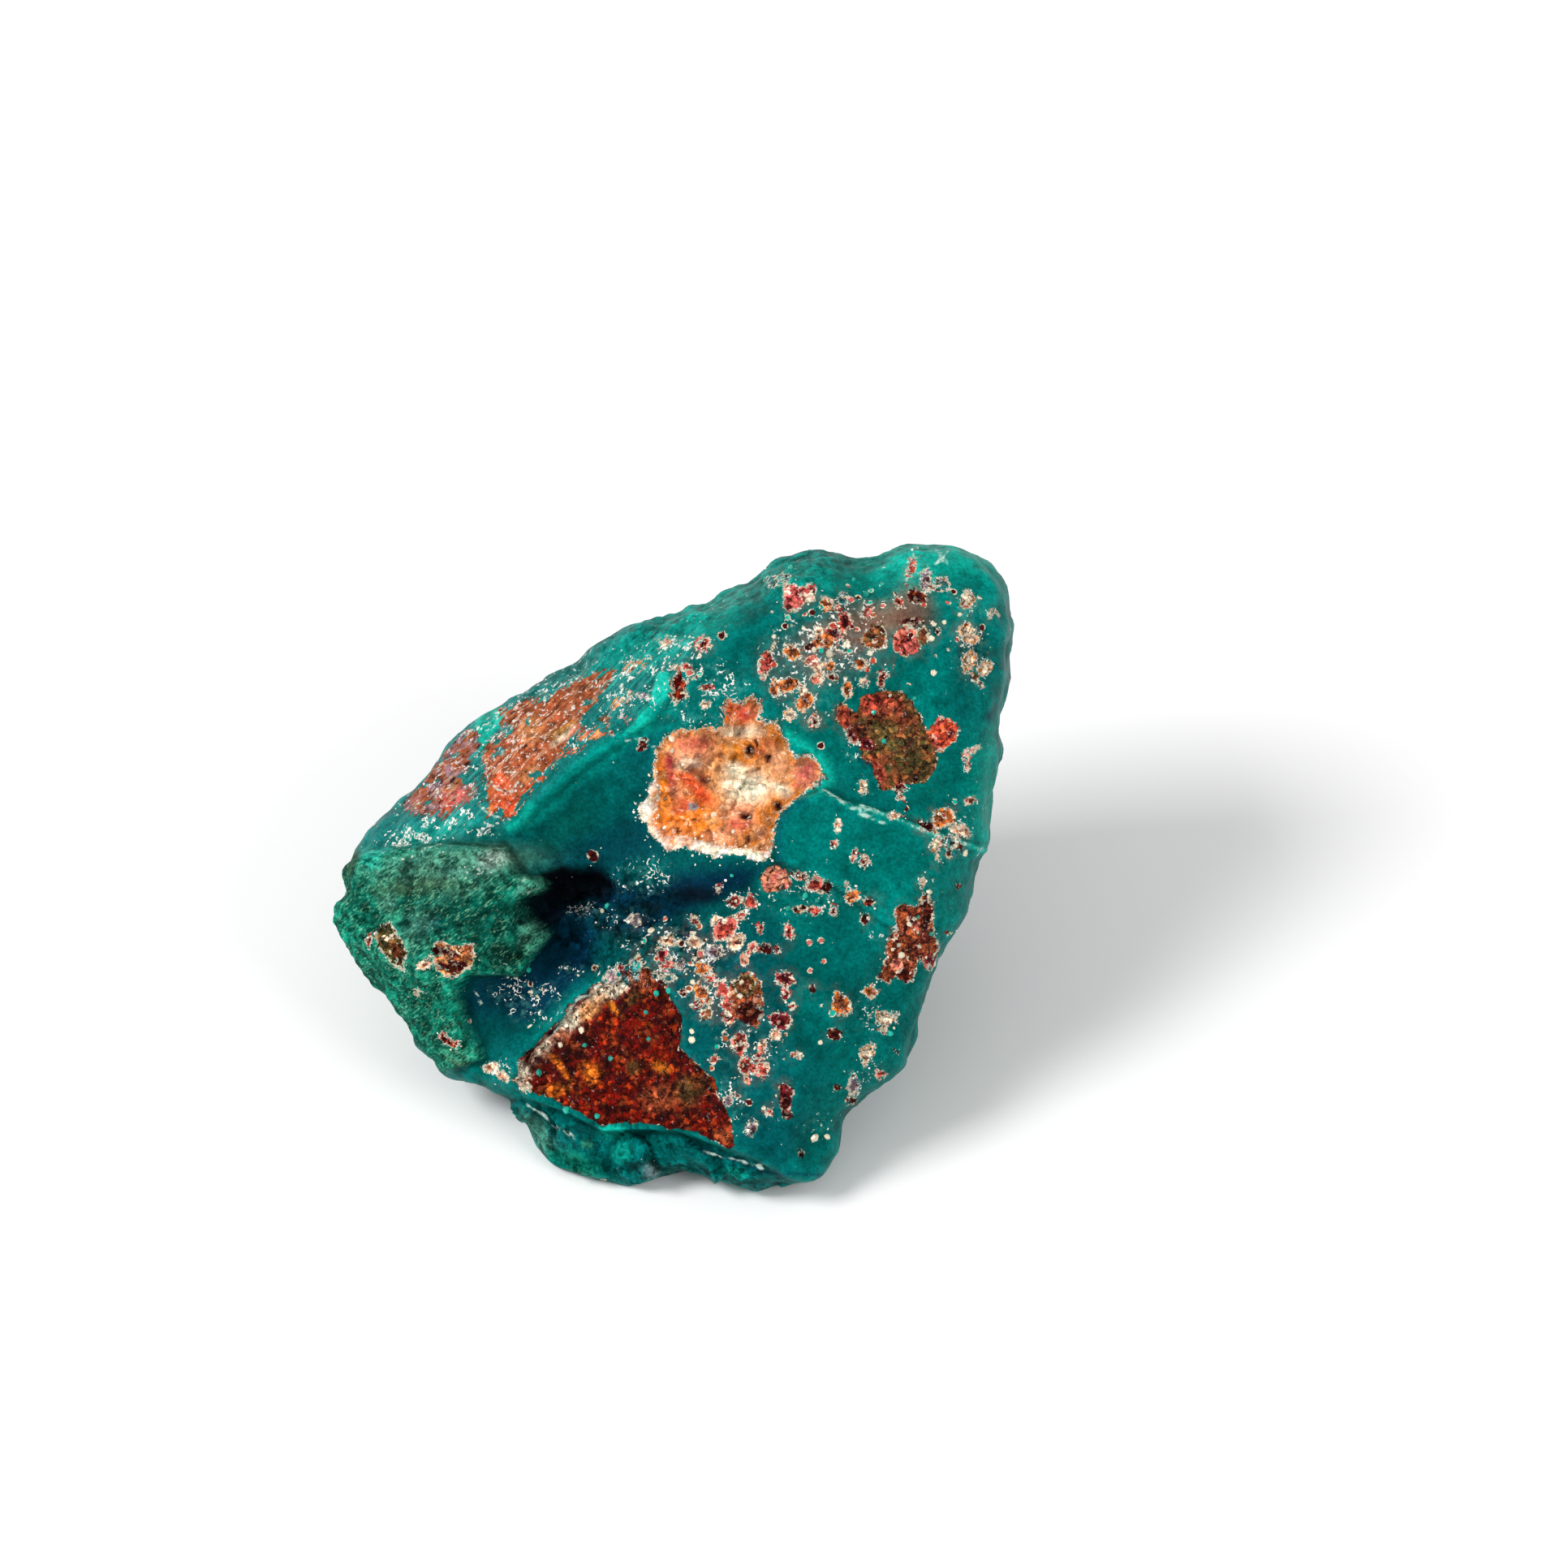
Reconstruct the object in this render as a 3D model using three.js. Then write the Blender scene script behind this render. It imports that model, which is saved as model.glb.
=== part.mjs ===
// Dioptase on matrix: a rough hand specimen, one natural stone of blue-green copper silicate grown
// through iron-stained quartz. Millimetres, +Z up, lying on its broadest fracture face.
//
// The stone is described in its "show frame": s runs to the right, t up the show face and d out of it.
// The show face is the large broken face, which leans back from the upright. Every form on it is a
// height above the plane d = 0: fracture planes meet in ridges, scoops sink it and plates step it.
import * as THREE from 'three';
import { mergeVertices } from 'three/addons/utils/BufferGeometryUtils.js';

// ---- driving dimensions -------------------------------------------------------------------------
const SHOW_LEAN_DEG = 45;          // how far the show face leans back from the upright
const BED_DISTANCE = 12.7;         // from the show frame's centre down to the face it lies on
const GRID_STEPS = 28;             // facets along each edge of the cube that the stone is grown from
const HEART = { centre: [0.5, 0.5, -6], radius: 11 };   // inner disc that the surface is grown from
const FORWARD_SHARE = 0.35;        // draws facets towards the show face, where the relief is
const FACE_BLEND = 0.9;            // rounding where two fracture planes of the show face meet
const RIM_BLEND = 1.2;             // rounding where the show face turns into the sides
const BACK_BLEND = 0.35;           // rounding between the hidden fracture planes
const RIM_CURVE_FRONT = 22;        // radius of the side wall's bulge, in front of its waist
const RIM_CURVE_BACK = 17;         // and behind it
const STEEPNESS = 0.85;            // share of a height that counts as distance on the sloping show face
const LONGEST_REACH = 26;          // no part of the surface lies farther from the heart
const MARCH_STEPS = 52;
const HALVINGS = 18;

// Outline of the stone seen square to the show face, clockwise from its left corner.
const OUTLINE = [
  [-21.8, -0.1], [-21, 1.5], [-20.2, 2.7], [-19, 3.6], [-17.4, 4.9], [-16.1, 6.5], [-15, 8.3], [-13.5, 9.9],
  [-12.5, 10.1], [-9.9, 11.5], [-7.5, 12.8], [-6.5, 13.2], [-5.9, 14.1], [-4.5, 15.2], [-3.6, 15.8], [-0.6, 16.5],
  [0.8, 17.3], [2, 17.3], [3.4, 18.2], [4.8, 18.5], [5.7, 19.5], [6.6, 20.2], [9.8, 21.1], [11.4, 20.4],
  [13.5, 20.4], [15.6, 21.2], [18.4, 21.2], [20.5, 20.3], [21.8, 18.8], [22.2, 16.9], [22.5, 15.5], [22.3, 12.5],
  [21.7, 10.1], [21.6, 7.5], [20.9, 4.8], [20.7, 1.3], [20, 0.2], [19.4, -2.8], [17.7, -5.5], [16.7, -8.3],
  [16, -10.6], [15.5, -13], [13.5, -14.6], [11.4, -16.4], [11, -18.8], [9.3, -20.6], [6.6, -20.9], [5.4, -21.5],
  [2.8, -20.6], [0.5, -20.1], [-2.8, -21.3], [-4.8, -20.9], [-8.1, -19.9], [-9.7, -17.1], [-10.5, -15.6],
  [-12.8, -14.3], [-15.4, -13.7], [-16.6, -12.2], [-18.4, -9.3], [-20.8, -6.6], [-22.3, -4.6], [-22.5, -3.6],
  [-21.7, -1.7],
];

// Fracture planes of the show face: the height d at one point and its slope along s and t.
const SHOW_PLANES = [
  { name: 'main face', at: [8, -2], height: 8.2, slope: [-0.10, -0.06] },
  { name: 'right flank', at: [17, 2], height: 6.6, slope: [-0.55, 0.02] },
  { name: 'top right shoulder', at: [14, 17], height: 6.0, slope: [-0.15, -0.55] },
  { name: 'top band', at: [2, 14.8], height: 7.2, slope: [0.45, -1.0] },
  { name: 'streaked face', at: [-5.5, 7.6], height: 7.0, slope: [0.80, -0.89] },
  { name: 'green lump, upper side', at: [-14, -2], height: 4.8, slope: [0.42, -0.27] },
  { name: 'green lump, lower side', at: [-15, -9], height: 4.0, slope: [0.55, 0.35] },
  { name: 'lower left face', at: [5, -10], height: 8.6, slope: [0.23, 0.10] },
  { name: 'bottom facet', at: [-3, -17], height: 7.4, slope: [0.14, 0.50] },
  { name: 'lower right corner', at: [13, -12], height: 6.6, slope: [-0.50, 0.24] },
];

// Smooth hollows: centre, half widths before turning, turn in degrees, depth, and how flat the floor is.
const SCOOPS = [
  { name: 'dark face under the ridge', at: [-4.6, 0.8], size: [6.2, 4.4], turn: 42, depth: 3.4, flat: 1 },
  { name: 'black cavity', at: [-6.7, -1.6], size: [2.6, 1.5], turn: 0, depth: 2.6, flat: 2 },
  { name: 'gully under the cavity', at: [-7.6, -5.0], size: [2.6, 3.0], turn: 0, depth: 2.6, flat: 1 },
  { name: 'navy gully', at: [-10.2, -9.2], size: [3.2, 3.8], turn: -30, depth: 2.0, flat: 1 },
  { name: 'band under the vug', at: [0.8, -2.8], size: [5.0, 1.9], turn: 8, depth: 1.4, flat: 1 },
  { name: 'pocket in the lump', at: [-11.0, -5.9], size: [1.2, 0.9], turn: 0, depth: 1.2, flat: 2 },
  { name: 'dish at the brown patch', at: [13.8, 7.8], size: [4.0, 3.4], turn: 0, depth: 0.5, flat: 1 },
  { name: 'notch in the top edge', at: [12.3, 19.6], size: [1.8, 2.2], turn: 0, depth: 1.4, flat: 1 },
];

// Areas stepped up or down as one: how far, over what width the step is spread, the point and the
// distance over which it dies away, and their outline.
const PLATES = [
  { name: 'green lump', lift: 1.3, edge: 1.5, fade: { at: [-13, -3], over: 14 }, outline: [
    [-21.6, 0.4], [-15.7, 1.4], [-11, 1.2], [-10.3, -0.6], [-8.8, -0.8], [-8.4, -1.2], [-10.3, -2.5], [-9, -3.8],
    [-8.3, -4.5], [-10.3, -7.2], [-13.5, -7.2], [-14.4, -8.3], [-13, -12], [-15.4, -13.7], [-24, -6], [-24, -1]] },
  { name: 'vug', lift: -1.5, edge: 1.6, fade: { at: [3, 5], over: 16 }, outline: [
    [-0.6, 8.6], [2.4, 9.2], [3.3, 10.6], [5.6, 10.8], [6.0, 9.4], [7.9, 7.2], [9.8, 5.8], [7.3, 3.9], [6.5, 2.3],
    [5.9, 0.5], [2.5, 0.9], [-1.2, 1.8], [-2.3, 3.3], [-1.3, 5.9]] },
  { name: 'ruby basin', lift: -1.1, edge: 1.4, fade: { at: [-6, -10], over: 8 }, outline: [
    [-10.6, -14.2], [-7.1, -9.6], [-4.7, -7.8], [-1.7, -6.7], [0, -9.1], [0.3, -12], [2.6, -13.9], [4, -18.2],
    [-0.1, -17.2], [-4.7, -17.2], [-8.2, -15.3]] },
  { name: 'shell below the crack', lift: 0.9, edge: 1.3, fade: { at: [9.5, 3.5], over: 7.5 }, outline: [
    [9.3, 4.9], [7.7, 4.4], [6.7, 3.2], [6.5, 1.6], [6.7, 0.3], [10.6, -1.3], [16, -5.1], [23, -5.1], [23, 1.1],
    [17.6, 1.9], [13.9, 3.3]] },
  { name: 'bottom lobe', lift: -1.2, edge: 1.4, fade: { at: [-3, -18], over: 12 }, outline: [
    [-13, -15], [-10.5, -15.3], [-4.7, -17.4], [-0.1, -17.4], [3.9, -18.7], [6.9, -20.1], [11, -23], [-13, -23]] },
];

// Crest of the ridge between the streaked face and the dark face, and the finger at its top.
const RIDGE = { line: [[0.1, 12.4], [-1.7, 10.0], [-5.5, 7.6], [-9.2, 4.4], [-11.1, 2.7]], lift: 0.5, width: 1.1 };

// Fracture planes of the sides. Each rests against the stone's widest line: the bearing it faces in the
// show frame, and how far it is turned under, both in degrees.
const SIDE_PLANES = [
  { name: 'right, high', bearing: 2, under: 26 },
  { name: 'right, low', bearing: -27, under: 36 },
  { name: 'right, deep', bearing: 14, under: 54 },
  { name: 'bottom right', bearing: -55, under: 24 },
  { name: 'bottom left', bearing: -138, under: 22 },
  { name: 'left', bearing: -172, under: 34 },
  { name: 'left, deep', bearing: 168, under: 58 },
  { name: 'upper left', bearing: 127, under: 40 },
  { name: 'upper left, deep', bearing: 112, under: 52 },
  { name: 'top', bearing: 96, under: 33 },
  { name: 'top right', bearing: 52, under: 44 },
  { name: 'top right, deep', bearing: 70, under: 62 },
];

// Fracture planes across the back: outward normal in the show frame and distance from its centre.
const BACK_PLANES = [
  { name: 'back', normal: [0.08, 0.40, -0.913], reach: 15.2 },
  { name: 'back right', normal: [0.38, 0.16, -0.91], reach: 15.8 },
  { name: 'back left', normal: [-0.36, 0.22, -0.91], reach: 14.4 },
  { name: 'right heel', normal: [0.34, -0.16, -0.93], reach: 16.2 },
  { name: 'left heel', normal: [-0.35, -0.12, -0.93], reach: 15.6 },
];

// Gentle waves of the broken surface: direction and pace in radians per millimetre, phase and height.
const SWELLS = [
  { wave: [0.62, 0.35, 0.20], phase: 0.4, height: 0.16 },
  { wave: [-0.33, 0.71, 0.42], phase: 2.1, height: 0.15 },
  { wave: [0.95, -0.60, 0.55], phase: 4.0, height: 0.11 },
  { wave: [0.28, 1.24, -0.75], phase: 1.2, height: 0.07 },
  { wave: [-1.45, 0.52, 0.96], phase: 5.2, height: 0.05 },
  { wave: [1.30, 1.45, 0.30], phase: 3.3, height: 0.04 },
];

// ---- helpers ------------------------------------------------------------------------------------
const lean = THREE.MathUtils.degToRad(SHOW_LEAN_DEG);
const RIGHT = new THREE.Vector3(1, 0, 0);
const UP = new THREE.Vector3(0, Math.sin(lean), Math.cos(lean));
const OUT = new THREE.Vector3(0, -Math.cos(lean), Math.sin(lean));

/** The larger of two values, with the corner between them rounded over a blend width. */
function softMax(a, b, blend) {
  const overlap = Math.max(blend - Math.abs(a - b), 0) / blend;
  return Math.max(a, b) + (overlap * overlap * blend) / 4;
}

/** Distance from (s, t) to a segment. */
function segmentDistance(s, t, [as, at], [bs, bt]) {
  const es = bs - as;
  const et = bt - at;
  const share = THREE.MathUtils.clamp(((s - as) * es + (t - at) * et) / (es * es + et * et), 0, 1);
  return Math.hypot(s - as - es * share, t - at - et * share);
}

/** Distance from (s, t) to a closed outline, below zero inside it. */
function outlineDistance(points, s, t) {
  let nearest = Infinity;
  let inside = false;
  points.forEach((a, i) => {
    const b = points[(i + 1) % points.length];
    nearest = Math.min(nearest, segmentDistance(s, t, a, b));
    if ((a[1] > t) !== (b[1] > t) && s < a[0] + ((t - a[1]) * (b[0] - a[0])) / (b[1] - a[1])) inside = !inside;
  });
  return inside ? -nearest : nearest;
}

/** Distance from (s, t) to an open line of points. */
function lineDistance(points, s, t) {
  return Math.min(...points.slice(1).map((b, i) => segmentDistance(s, t, points[i], b)));
}

/** Depth that one scoop takes out at (s, t): a bell whose floor is flatter the higher its power. */
function scoopDepth({ at, size, turn, depth, flat }, s, t) {
  const angle = THREE.MathUtils.degToRad(turn);
  const along = (s - at[0]) * Math.cos(angle) + (t - at[1]) * Math.sin(angle);
  const across = -(s - at[0]) * Math.sin(angle) + (t - at[1]) * Math.cos(angle);
  const spread = (along / size[0]) ** 2 + (across / size[1]) ** 2;
  return depth * Math.exp(-(spread ** flat));
}

/** Height of the show face above d = 0. */
function showHeight(s, t) {
  let depth = -Infinity;
  for (const { at, height, slope } of SHOW_PLANES) {
    const plane = height + slope[0] * (s - at[0]) + slope[1] * (t - at[1]);
    depth = depth === -Infinity ? -plane : softMax(depth, -plane, FACE_BLEND);
  }
  let top = -depth;
  for (const scoop of SCOOPS) top -= scoopDepth(scoop, s, t);
  for (const { lift, edge, fade, outline } of PLATES) {
    const inside = 1 - THREE.MathUtils.smoothstep(outlineDistance(outline, s, t), -edge / 2, edge / 2);
    top += lift * inside * Math.exp(-((Math.hypot(s - fade.at[0], t - fade.at[1]) / fade.over) ** 2));
  }
  top += RIDGE.lift * Math.exp(-((lineDistance(RIDGE.line, s, t) / RIDGE.width) ** 2));
  return top;
}

/** Sum of the swells at a point of the show frame. */
function swell(s, t, d) {
  return SWELLS.reduce((sum, { wave, phase, height }) =>
    sum + height * Math.sin(wave[0] * s + wave[1] * t + wave[2] * d + phase), 0);
}

/** Height above the face the stone lies on. */
function bedHeight(t, d) {
  return t * UP.z + d * OUT.z + BED_DISTANCE;
}

/** Depth d at which the side wall is widest: it follows the bed near the bottom edge. */
function waistDepth(s, t) {
  const aboveBed = -t - BED_DISTANCE / OUT.z + 1.2;
  return softMax(-0.5 + 0.05 * s - 0.12 * t, aboveBed, 1.0);
}

/** A side plane's normal and its distance from the centre, where it touches the widest line. */
function restAgainstWaist({ bearing, under }) {
  const [facing, tuck] = [bearing, under].map(THREE.MathUtils.degToRad);
  const normal = [Math.cos(facing) * Math.cos(tuck), Math.sin(facing) * Math.cos(tuck), -Math.sin(tuck)];
  const reach = Math.max(...OUTLINE.map(([s, t]) => normal[0] * s + normal[1] * t + normal[2] * waistDepth(s, t)));
  return { normal, reach };
}

/** Above zero outside the stone, below zero inside it; about a distance in millimetres. */
function outside(s, t, d) {
  const fromWaist = d - waistDepth(s, t);
  const curve = fromWaist > 0 ? RIM_CURVE_FRONT : RIM_CURVE_BACK;
  const side = outlineDistance(OUTLINE, s, t) + (fromWaist * fromWaist) / (2 * curve);
  const front = STEEPNESS * (d - showHeight(s, t)) + swell(s, t, d);
  let hidden = -Infinity;
  for (const { normal, reach } of hiddenPlanes) {
    const plane = normal[0] * s + normal[1] * t + normal[2] * d - reach;
    hidden = hidden === -Infinity ? plane : softMax(hidden, plane, BACK_BLEND);
  }
  hidden += Math.max(swell(s, t, d), 0);
  return Math.max(softMax(softMax(side, front, RIM_BLEND), hidden, BACK_BLEND), -bedHeight(t, d));
}

/** First point where a ray from the heart leaves the stone, by marching and halving. */
function surfacePoint(direction) {
  const { centre: [s0, t0, d0], radius } = HEART;
  const start = [s0 + radius * direction[0], t0 + radius * direction[1], d0];
  const at = (reach) => start.map((value, i) => value + direction[i] * reach);
  const step = LONGEST_REACH / MARCH_STEPS;
  let far = step;
  while (far < LONGEST_REACH && outside(...at(far)) < 0) far += step;
  let near = far - step;
  for (let i = 0; i < HALVINGS; i += 1) {
    const middle = (near + far) / 2;
    if (outside(...at(middle)) < 0) near = middle;
    else far = middle;
  }
  return at(near);
}

const hiddenPlanes = [...SIDE_PLANES.map(restAgainstWaist), ...BACK_PLANES];

// ---- the stone ----------------------------------------------------------------------------------
/** A cube grid drawn out to the stone's surface, one ray a vertex. */
function growStone() {
  const cube = new THREE.BoxGeometry(2, 2, 2, GRID_STEPS, GRID_STEPS, GRID_STEPS);
  cube.deleteAttribute('normal');
  cube.deleteAttribute('uv');
  const geometry = mergeVertices(cube, 1e-5);
  geometry.clearGroups();
  const position = geometry.attributes.position;
  const even = (value) => Math.tan((value * Math.PI) / 4);
  for (let i = 0; i < position.count; i += 1) {
    const ray = new THREE.Vector3(even(position.getX(i)), even(position.getY(i)), even(position.getZ(i)));
    ray.normalize();
    ray.z += FORWARD_SHARE;
    ray.normalize();
    const [s, t, d] = surfacePoint(ray.toArray());
    const point = new THREE.Vector3().addScaledVector(RIGHT, s).addScaledVector(UP, t).addScaledVector(OUT, d);
    point.z += BED_DISTANCE;
    if (point.z < 0.02) point.z = 0;
    position.setXYZ(i, ...point.toArray());
  }
  return geometry;
}

/** Moves the stone so that the middle of its box stands over the origin. */
function centre(geometry) {
  geometry.computeBoundingBox();
  const middle = geometry.boundingBox.getCenter(new THREE.Vector3());
  geometry.translate(-middle.x, -middle.y, -geometry.boundingBox.min.z);
  geometry.computeVertexNormals();
  return geometry;
}

const stone = new THREE.Mesh(
  centre(growStone()),
  new THREE.MeshStandardMaterial({ color: 0x0a8a82, roughness: 0.38, metalness: 0 }),
);
stone.name = 'dioptase_stone';

const group = new THREE.Group();
group.add(stone);

export default group;
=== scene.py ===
"""The looks of a rough hand piece of dioptase on matrix: one natural stone on a pale studio floor.

The stone is described in its show frame, in millimetres: s to the right, t up the big broken face and
d out of it. That face leans back from the upright. Shapes are formulas over whole arrays of points, and
the finished mesh is turned into the row frame, in metres, at the very end.
"""

import logging
import math
from dataclasses import dataclass, field
from enum import Enum
from typing import Iterable

import bpy
import numpy as np
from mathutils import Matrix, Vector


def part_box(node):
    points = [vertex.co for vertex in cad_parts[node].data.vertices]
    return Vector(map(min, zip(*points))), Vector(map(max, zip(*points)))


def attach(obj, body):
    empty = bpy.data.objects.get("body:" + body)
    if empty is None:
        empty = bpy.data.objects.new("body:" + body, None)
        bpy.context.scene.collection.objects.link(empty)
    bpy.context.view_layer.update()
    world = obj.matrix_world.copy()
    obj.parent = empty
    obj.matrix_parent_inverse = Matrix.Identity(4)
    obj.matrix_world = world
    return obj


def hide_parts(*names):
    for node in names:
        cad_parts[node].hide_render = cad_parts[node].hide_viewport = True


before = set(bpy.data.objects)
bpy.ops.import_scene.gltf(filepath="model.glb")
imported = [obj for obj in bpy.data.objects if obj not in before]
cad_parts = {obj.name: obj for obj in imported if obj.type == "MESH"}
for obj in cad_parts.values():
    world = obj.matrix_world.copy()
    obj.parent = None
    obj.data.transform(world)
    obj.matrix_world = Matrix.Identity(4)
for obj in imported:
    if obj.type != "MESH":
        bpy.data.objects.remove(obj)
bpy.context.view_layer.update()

NODE = "dioptase_stone"
BODY = "root"
MM = 0.001
LOG = logging.getLogger("dioptase")

Array = np.ndarray
Point = tuple[float, float]


# ---- colour ---------------------------------------------------------------------------------------
def linear(hex_colour: str) -> tuple[float, float, float]:
    """Turns an sRGB hex colour into linear light.

    Args:
        hex_colour: six hex digits, such as "00857E".

    Returns:
        The three channels, each from 0 to 1, by the sRGB curve and its own constants.
    """
    values = [int(hex_colour[i:i + 2], 16) / 255 for i in (0, 2, 4)]
    return tuple(v / 12.92 if v <= 0.04045 else ((v + 0.055) / 1.055) ** 2.4 for v in values)


class Tint(Enum):
    """The stone's own colours, as sRGB hex, with the near-black and dark red of painted shade and the pale of
    painted glints.
    """

    TEAL = "006A64"
    TEAL_LIGHT = "028C80"
    TURQUOISE = "10B49E"
    TEAL_DEEP = "035A5A"
    TEAL_DARK = "04414E"
    NAVY = "04203F"
    # painted shadow: the near-black of the cavity, the pockets, the gaps and the crevices
    SHADE_BLACK = "0B0714"
    TEAL_GREY = "2F8E8B"
    CHALK_GREEN = "10846A"
    CHALK_DARK = "055244"
    CHALK_GREY = "5A9C84"
    OLIVE = "55502A"
    BRICK = "C4473A"
    PINK = "D0655C"
    ORANGE = "E87620"
    AMBER = "D6781F"
    SALMON = "D98A68"
    CREAM = "F1E4C6"
    WHITE = "F4F1E8"
    BROWN = "8C4A2C"
    MAROON = "4A0C10"
    RUBY = "7C1004"
    GARNET = "3A0A07"
    RUST = "A8522F"
    GREY = "8E9AA0"
    CRIMSON = "B02A3C"
    MAUVE = "8A6A70"
    FLAME = "E8542A"
    HONEY = "E09A60"
    OCHRE = "B8943C"
    DARK_OLIVE = "38361C"
    PALE_GREEN = "4FBF95"
    CHALK_PALE = "84D2A8"
    COMBED = "52CABE"
    HAZE = "6FCFC4"
    HALO = "7A5248"
    DARK_GRAIN = "3A0C10"
    STRAW = "CDAA88"
    # painted shade in the patches' holes
    HOLE_SHADE = "2A0508"
    GLINT = "D6F0E4"

    def rgb(self) -> Array:
        """The colour in linear light."""
        return np.array(linear(self.value))


# ---- noise over arrays of points ------------------------------------------------------------------
CELL_PRIMES = np.array([73856093, 19349663, 83492791])
SEED_PRIME = 2654435761
MIXERS = (0x2C1B3C6D, 0x297A2D39)
WORD = 0xFFFFFFFF                # the largest 32-bit number
OCTAVE_SEED = 17                 # how far apart the seeds of two octaves are


def lattice_random(cells: Array, seed: int) -> Array:
    """A repeatable random number for each integer lattice cell: its coordinates, mixed by large primes.

    Args:
        cells: integer coordinates, shape (..., 3).
        seed: picks another set of numbers.

    Returns:
        Numbers from 0 to 1, shape (...).
    """
    mixed = cells.astype(np.int64) * CELL_PRIMES
    code = (mixed[..., 0] ^ mixed[..., 1] ^ mixed[..., 2] ^ (seed * SEED_PRIME)) & WORD
    code = ((code ^ (code >> 15)) * MIXERS[0]) & WORD
    code = ((code ^ (code >> 12)) * MIXERS[1]) & WORD
    return (code ^ (code >> 15)) / WORD


def noise(points: Array, cell: float, seed: int) -> Array:
    """Smooth noise: random numbers on a lattice, blended by a quintic ease between its corners.

    Args:
        points: shape (n, 3), in millimetres.
        cell: the lattice's spacing, in millimetres.
        seed: picks another noise.

    Returns:
        Values from -1 to 1.
    """
    scaled = points / cell
    corner = np.floor(scaled)
    part = scaled - corner
    blend = part ** 3 * (part * (part * 6 - 15) + 10)
    total = np.zeros(len(points))
    for offset in np.ndindex(2, 2, 2):
        share = np.prod(np.where(np.array(offset) == 1, blend, 1 - blend), axis=1)
        total += share * lattice_random(corner + np.array(offset), seed)
    return total * 2 - 1


def fractal(points: Array, cell: float, octaves: int, seed: int, gain: float = 0.5) -> Array:
    """Noise summed over octaves, each half as wide and `gain` times as high as the one before."""
    total, height, peak = np.zeros(len(points)), 1.0, 0.0
    for octave in range(octaves):
        total += height * noise(points, cell / 2 ** octave, seed + OCTAVE_SEED * octave)
        peak += height
        height *= gain
    return total / peak


def scattered(points: Array, cell: float, seed: int) -> tuple[Array, Array, Array]:
    """One random seed point in each lattice cell, and how each point lies to the nearest of them.

    Args:
        points: shape (n, 3), in millimetres.
        cell: the lattice's spacing, in millimetres.
        seed: picks another scatter.

    Returns:
        Distance to the nearest seed, the offset from it, and that seed's own random number.
    """
    home = np.floor(points / cell)
    nearest = np.full(len(points), np.inf)
    offset = np.zeros_like(points)
    label = np.zeros(len(points))
    for step in np.ndindex(3, 3, 3):
        other = home + (np.array(step) - 1)
        place = np.stack([lattice_random(other, seed + k) for k in (1, 2, 3)], axis=1)
        away = points - (other + place) * cell
        distance = np.linalg.norm(away, axis=1)
        closer = distance < nearest
        nearest = np.where(closer, distance, nearest)
        offset = np.where(closer[:, None], away, offset)
        label = np.where(closer, lattice_random(other, seed + 4), label)
    return nearest, offset, label


# ---- plane geometry -------------------------------------------------------------------------------
def ease(values: Array, low: float, high: float) -> Array:
    """A smooth step from 0 at `low` to 1 at `high`: 3u² - 2u³ of the share u of the way."""
    share = np.clip((values - low) / (high - low), 0, 1)
    return share * share * (3 - 2 * share)


def soft_max(a: Array, b: Array, blend: float) -> Array:
    """The larger of two values, with the corner between them rounded over a blend width."""
    overlap = np.maximum(blend - np.abs(a - b), 0) / blend
    return np.maximum(a, b) + overlap * overlap * blend / 4


def bell(distance: Array, width: float) -> Array:
    """A bell curve: 1 at distance 0 and 1/e at the width."""
    return np.exp(-(distance / width) ** 2)


def turned(s: Array, t: Array, turn: float) -> tuple[Array, Array]:
    """How far each (s, t) lies along and across a direction, given in degrees from the right."""
    angle = math.radians(turn)
    return s * math.cos(angle) + t * math.sin(angle), t * math.cos(angle) - s * math.sin(angle)


def segment_distance(s: Array, t: Array, a: Point, b: Point) -> Array:
    """Distance from each (s, t) to the segment from a to b."""
    es, et = b[0] - a[0], b[1] - a[1]
    share = np.clip(((s - a[0]) * es + (t - a[1]) * et) / (es * es + et * et), 0, 1)
    return np.hypot(s - a[0] - es * share, t - a[1] - et * share)


@dataclass(frozen=True)
class Outline:
    """A closed outline drawn on the show face, in millimetres."""

    points: tuple[Point, ...]

    def distance(self, s: Array, t: Array) -> Array:
        """Signed distance from each (s, t) to the outline, below zero inside it (even-odd rule)."""
        nearest = np.full(np.shape(s), np.inf)
        inside = np.zeros(np.shape(s), bool)
        for a, b in zip(self.points, self.points[1:] + self.points[:1]):
            nearest = np.minimum(nearest, segment_distance(s, t, a, b))
            if a[1] != b[1]:
                crossing = a[0] + (t - a[1]) * (b[0] - a[0]) / (b[1] - a[1])
                inside ^= ((a[1] > t) != (b[1] > t)) & (s < crossing)
        return np.where(inside, -nearest, nearest)

    def cover(self, s: Array, t: Array, inner: float, outer: float) -> Array:
        """1 inside and 0 outside, eased from one signed distance to another."""
        return 1 - ease(self.distance(s, t), inner, outer)


@dataclass(frozen=True)
class Line:
    """An open line of points drawn on the show face, in millimetres."""

    points: tuple[Point, ...]

    def distance(self, s: Array, t: Array) -> Array:
        """Distance from each (s, t) to the line."""
        return np.min([segment_distance(s, t, a, b) for a, b in zip(self.points, self.points[1:])], axis=0)


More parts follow.
